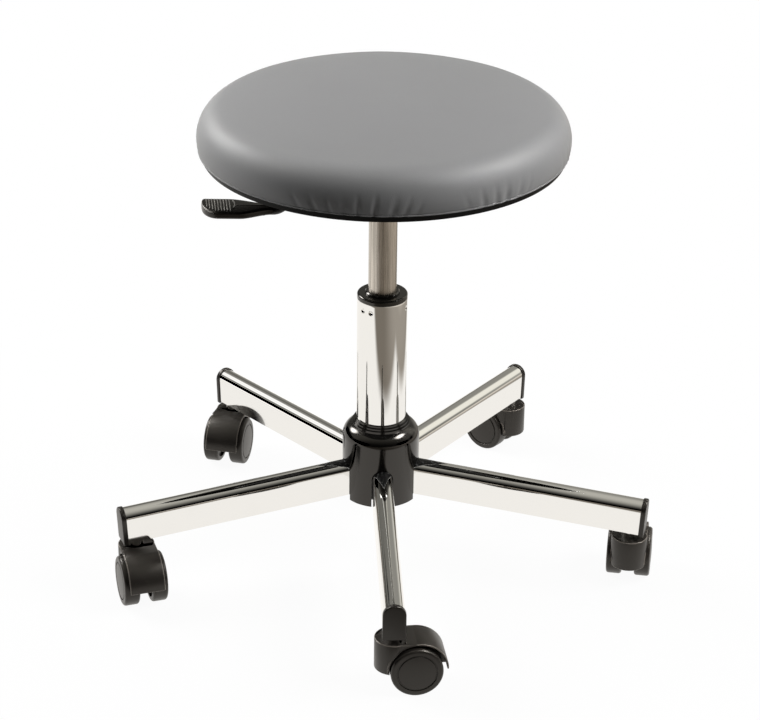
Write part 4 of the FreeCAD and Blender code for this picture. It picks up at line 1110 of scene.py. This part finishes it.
class STOOL_OT_column(bpy.types.Operator):
    """Turns the chromed column tube and punches the ring of dents under its collar"""
    bl_idname = "stool.column"
    bl_label = "Column"

    def execute(self, context):
        column = context.scene.stool_column
        radius = (TUBE_HIGH.x - TUBE_LOW.x) / 2
        foot, top = TUBE_LOW.z, TUBE_HIGH.z
        inside = radius - column.wall
        ring = top - column.dent_drop
        room = 2 * column.dent_ball
        outline = [(inside, foot), (radius, foot), (radius, ring - room), (radius, ring + room)]
        outline += arc((radius - column.lip, top - column.lip), column.lip, 0, 90, 4)
        outline += [(inside, top), (inside, foot)]
        tube = turned("column_chrome", outline, 192)
        balls = []
        for k in range(2 * column.dent_pairs):
            turn = column.dent_first + math.tau * (k // 2) / column.dent_pairs + column.dent_step * (k % 2)
            reach = radius + column.dent_ball - column.dent_depth
            place = (reach * math.cos(turn), reach * math.sin(turn), ring)
            start_clean()
            bpy.ops.mesh.primitive_uv_sphere_add(segments=32, ring_count=16, radius=column.dent_ball,
                                                 location=place)
            ball = named("dent_ball")
            settle(ball)
            balls.append(ball)
        combine(tube, join(*balls), "DIFFERENCE")
        clad(tube, "chrome")
        smooth(tube, 20.0)
        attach(tube, "base")
        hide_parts("column_tube")
        return {"FINISHED"}


# Name, place, width and height in metres, then a lamp's power in watts or the strength of a card's hot middle
LAMPS = (
    ("key_overhead", (0.10, 0.80, 2.0), 1.4, 1.2, 6.0),
    ("left_key", (-1.62, 0.62, 1.26), 1.2, 1.1, 37.0),
    ("right_key", (1.55, -0.30, 1.42), 1.2, 0.8, 31.0),
)
CARDS = (
    ("left_softbox", (-1.31, 0.96, 1.38), 1.3, 1.2, 0.0),
    ("right_softbox", (1.25, 0.02, 1.78), 1.7, 0.9, 0.0),
    ("left_glow", (-1.30, 0.95, 1.37), 1.3, 1.2, 21.0),
    ("right_glow", (1.24, 0.02, 1.77), 1.7, 0.9, 32.0),
)
CARD_TINT = (1.0, 0.99, 0.97)
FACE_EDGE = (0.05, 0.50)
FACE_LEVEL = 1.1
HOT_EDGE = (0.36, 1.0)
LIT_POINT = (0, 0, 0.4)
BARE_METALS = ("chrome", "steel", "nickel")

# What polished metal sees of the room: how much lighter a patch is, then its start and full place on an axis
ROOM_PATCHES = {
    "right_panel": (0.35, ("across", 0.15, 0.45), ("along", 0.5, 0.85), ("up", 0.35, 0.1)),
    "right_glow": (0.62, ("across", 0.10, 0.22), ("along", 0.22, 0.42), ("along", 0.74, 0.62),
                   ("up", 0.80, 0.68)),
    "left_shade": (-0.13, ("across", 0.02, -0.10), ("along", 0.70, 0.82), ("up", 0.0, 0.2)),
    "left_band": (-0.5, ("across", -0.55, -0.70), ("up", -0.02, 0.05), ("up", 0.34, 0.24)),
    "right_band": (-0.4, ("across", 0.72, 0.82), ("up", -0.02, 0.05), ("up", 0.30, 0.20)),
}


class STOOL_OT_stage(bpy.types.Operator):
    """Sets the floor, lamps, surroundings and camera"""
    bl_idname = "stool.stage"
    bl_label = "Stage"

    def execute(self, context):
        scene = context.scene
        scene.view_settings.view_transform = "Standard"
        self.floor()
        self.world(scene)
        for name, place, width, height, power in LAMPS:
            self.lamp(name, place, width, height, power)
        dull = self.dull_pieces(scene)
        for name, place, width, height, level in CARDS:
            self.card(name, place, width, height, level, dull if level else None)
        self.camera(scene)
        return {"FINISHED"}

    def lamp(self, name, place, width, height, power, aim=LIT_POINT):
        """Lamp that lights the stool but doesn't mirror in it."""
        start_clean()
        bpy.ops.object.light_add(type="AREA", location=place)
        lamp = bpy.context.active_object
        lamp.name = name
        lamp.data.shape = "RECTANGLE"
        lamp.data.size, lamp.data.size_y = width, height
        lamp.data.energy = power
        lamp.rotation_euler = (Vector(place) - Vector(aim)).to_track_quat("Z", "Y").to_euler()
        lamp.visible_glossy = False

    def dull_pieces(self, scene):
        """Collection of the pieces that aren't bare metal."""
        dull = bpy.data.collections.new("dull_pieces")
        for thing in scene.objects:
            finishes = [slot.material.name for slot in thing.material_slots if slot.material]
            bare = any(metal in finish for finish in finishes for metal in BARE_METALS)
            if thing.type == "MESH" and not bare:
                dull.objects.link(thing)
        return dull

    def card(self, name, place, width, height, level, lit, aim=LIT_POINT):
        """White face of a softbox, faded at its edges, or its hot middle, which only the lit pieces see."""
        start_clean()
        turn = (Vector(place) - Vector(aim)).to_track_quat("Z", "Y").to_euler()
        bpy.ops.mesh.primitive_plane_add(size=2.0, location=place, rotation=turn)
        card = named(name)
        card.scale = (width / 2, height / 2, 1.0)
        card.visible_camera = card.visible_diffuse = card.visible_shadow = False
        material = bpy.data.materials.new(name)
        material.use_nodes = True
        glow = Nodes(material.node_tree)
        glow.tree.nodes.clear()
        across, along, up = glow.axes(glow.place())
        fade = (1 - across * across) * (1 - along * along)
        face = fade.between(*(HOT_EDGE if lit else FACE_EDGE))
        full = tuple((level if lit else FACE_LEVEL) * part for part in CARD_TINT)
        tint = glow.blend(face, (0.0, 0.0, 0.0), full)
        shell = glow.add("ShaderNodeEmission", {}, {"Color": tint, "Strength": 1.0})
        if lit:
            clear = glow.add("ShaderNodeBsdfTransparent", {}, {})
            shell = glow.add("ShaderNodeAddShader", {}, {0: shell, 1: clear})
            card.light_linking.receiver_collection = lit
        glow.add("ShaderNodeOutputMaterial", {}, {"Surface": shell})
        card.data.materials.append(material)

    def floor(self):
        """White paper to the eye; to polished metal the paper ends in front and to the right of the stool."""
        start_clean()
        bpy.ops.mesh.primitive_plane_add(size=30.0, location=(0, 0, 0))
        floor = named("studio_floor")
        settle(floor)
        material = bpy.data.materials.new("studio_floor")
        material.use_nodes = True
        paper = Nodes(material.node_tree)
        paper.tree.nodes.clear()
        across, along, up = paper.axes(paper.place())
        eye = paper.path("Camera")
        mirror = paper.path("Glossy").math("MAXIMUM", paper.path("Transmission"))
        far = (across * across + along * along).math("SQRT").between(0.35, 0.65)
        sheet = (along - across * 0.34).between(-0.44, -0.34) * (across + along * 0.25).between(0.46, 0.37)
        near_beyond = paper.blend(across.between(0.05, 0.55), (0.20, 0.175, 0.145), (0.36, 0.325, 0.28))
        beyond = paper.blend(across.between(0.58, 0.72), near_beyond, (0.72, 0.66, 0.58))
        reflected = paper.blend(sheet, beyond, (1.0, 0.975, 0.935))
        seen = paper.blend(mirror, (1.0, 1.0, 1.0), reflected)
        bounce = paper.blend(eye, (0.20, 0.20, 0.20), (0.97, 0.97, 0.97))
        share = eye * (0.95 + far * 0.05) + mirror
        shell = paper.add("ShaderNodeMixShader", {}, {
            0: share, 1: paper.add("ShaderNodeBsdfDiffuse", {}, {"Color": bounce}),
            2: paper.add("ShaderNodeEmission", {}, {"Color": seen, "Strength": 1.0})})
        paper.add("ShaderNodeOutputMaterial", {}, {"Surface": shell})
        floor.data.materials.append(material)

    def world(self, scene):
        """White to the eye; to polished metal a room, dark in front and light overhead; a faint fill else."""
        scene.world = bpy.data.worlds.new("studio")
        scene.world.use_nodes = True
        sky = Nodes(scene.world.node_tree)
        sky.tree.nodes.clear()
        across, along, up = sky.axes(sky.add("ShaderNodeTexCoord", out="Generated"))
        axes = {"across": across, "along": along, "up": up}
        swing = up.math("ARCTAN2", along * -1.0)
        rise = swing.between(math.radians(12), math.radians(90))
        fall = swing.between(math.radians(105), math.radians(150))
        level = rise * 0.5 - fall * 0.22
        for lighter, (axis, edge, full), *sides in ROOM_PATCHES.values():
            patch = axes[axis].between(edge, full)
            for axis, edge, full in sides:
                patch = patch * axes[axis].between(edge, full)
            level = level + patch * lighter
        room = sky.add("ShaderNodeBackground", {}, {"Color": (1.0, 0.97, 0.87), "Strength": level})
        fill = sky.add("ShaderNodeBackground", {}, {"Color": (1.0, 1.0, 1.0), "Strength": 0.06})
        white = sky.add("ShaderNodeBackground", {}, {"Color": (1.0, 1.0, 1.0), "Strength": 1.0})
        lit = sky.add("ShaderNodeMixShader", {}, {0: sky.path("Glossy"), 1: fill, 2: room})
        eye = sky.path("Camera").math("MAXIMUM", sky.path("Transmission"))
        shell = sky.add("ShaderNodeMixShader", {}, {0: eye, 1: lit, 2: white})
        sky.add("ShaderNodeOutputWorld", {}, {"Surface": shell})

    def camera(self, scene):
        stage = scene.stool_stage
        back = Vector((0, -math.cos(stage.camera_rise), math.sin(stage.camera_rise)))
        place = Vector((0, 0, stage.camera_aim)) + back * stage.camera_reach
        start_clean()
        bpy.ops.object.camera_add(location=place)
        camera = bpy.context.active_object
        camera.name = "photo_camera"
        tilt = Matrix.Rotation(math.pi / 2 - stage.camera_rise, 4, "X")
        camera.rotation_euler = (tilt @ Matrix.Rotation(stage.camera_roll, 4, "Z")).to_euler()
        camera.data.sensor_width = 36.0
        camera.data.lens = stage.lens
        camera.data.shift_x, camera.data.shift_y = stage.shift_x, stage.shift_y
        scene.camera = camera


class STOOL_PT_panel(bpy.types.Panel):
    """Lists the steps that dress the stool"""
    bl_idname = "STOOL_PT_panel"
    bl_label = "Wheeled Stool"
    bl_space_type = "VIEW_3D"
    bl_region_type = "UI"
    bl_category = "Stool"

    def draw(self, context):
        for step in STEPS:
            self.layout.operator("stool." + step)


STEPS = ("finishes", "seat_cover", "caster_hoods", "caster_wheels", "end_caps", "lever_handle", "column",
         "stage")
SETTINGS = {"stool_seat": SeatSettings, "stool_caster": CasterSettings, "stool_handle": HandleSettings,
            "stool_column": ColumnSettings, "stool_metal": MetalSettings, "stool_stage": StageSettings}
CLASSES = (*SETTINGS.values(), STOOL_OT_finishes, STOOL_OT_seat_cover, STOOL_OT_caster_hoods,
           STOOL_OT_caster_wheels, STOOL_OT_end_caps, STOOL_OT_lever_handle, STOOL_OT_column, STOOL_OT_stage,
           STOOL_PT_panel)


def register():
    for item in CLASSES:
        bpy.utils.register_class(item)
    for word, group in SETTINGS.items():
        setattr(bpy.types.Scene, word, bpy.props.PointerProperty(type=group))


def unregister():
    for word in SETTINGS:
        delattr(bpy.types.Scene, word)
    for item in reversed(CLASSES):
        bpy.utils.unregister_class(item)


def main():
    register()
    for step in STEPS:
        getattr(bpy.ops.stool, step)()


if __name__ == "__main__":
    main()
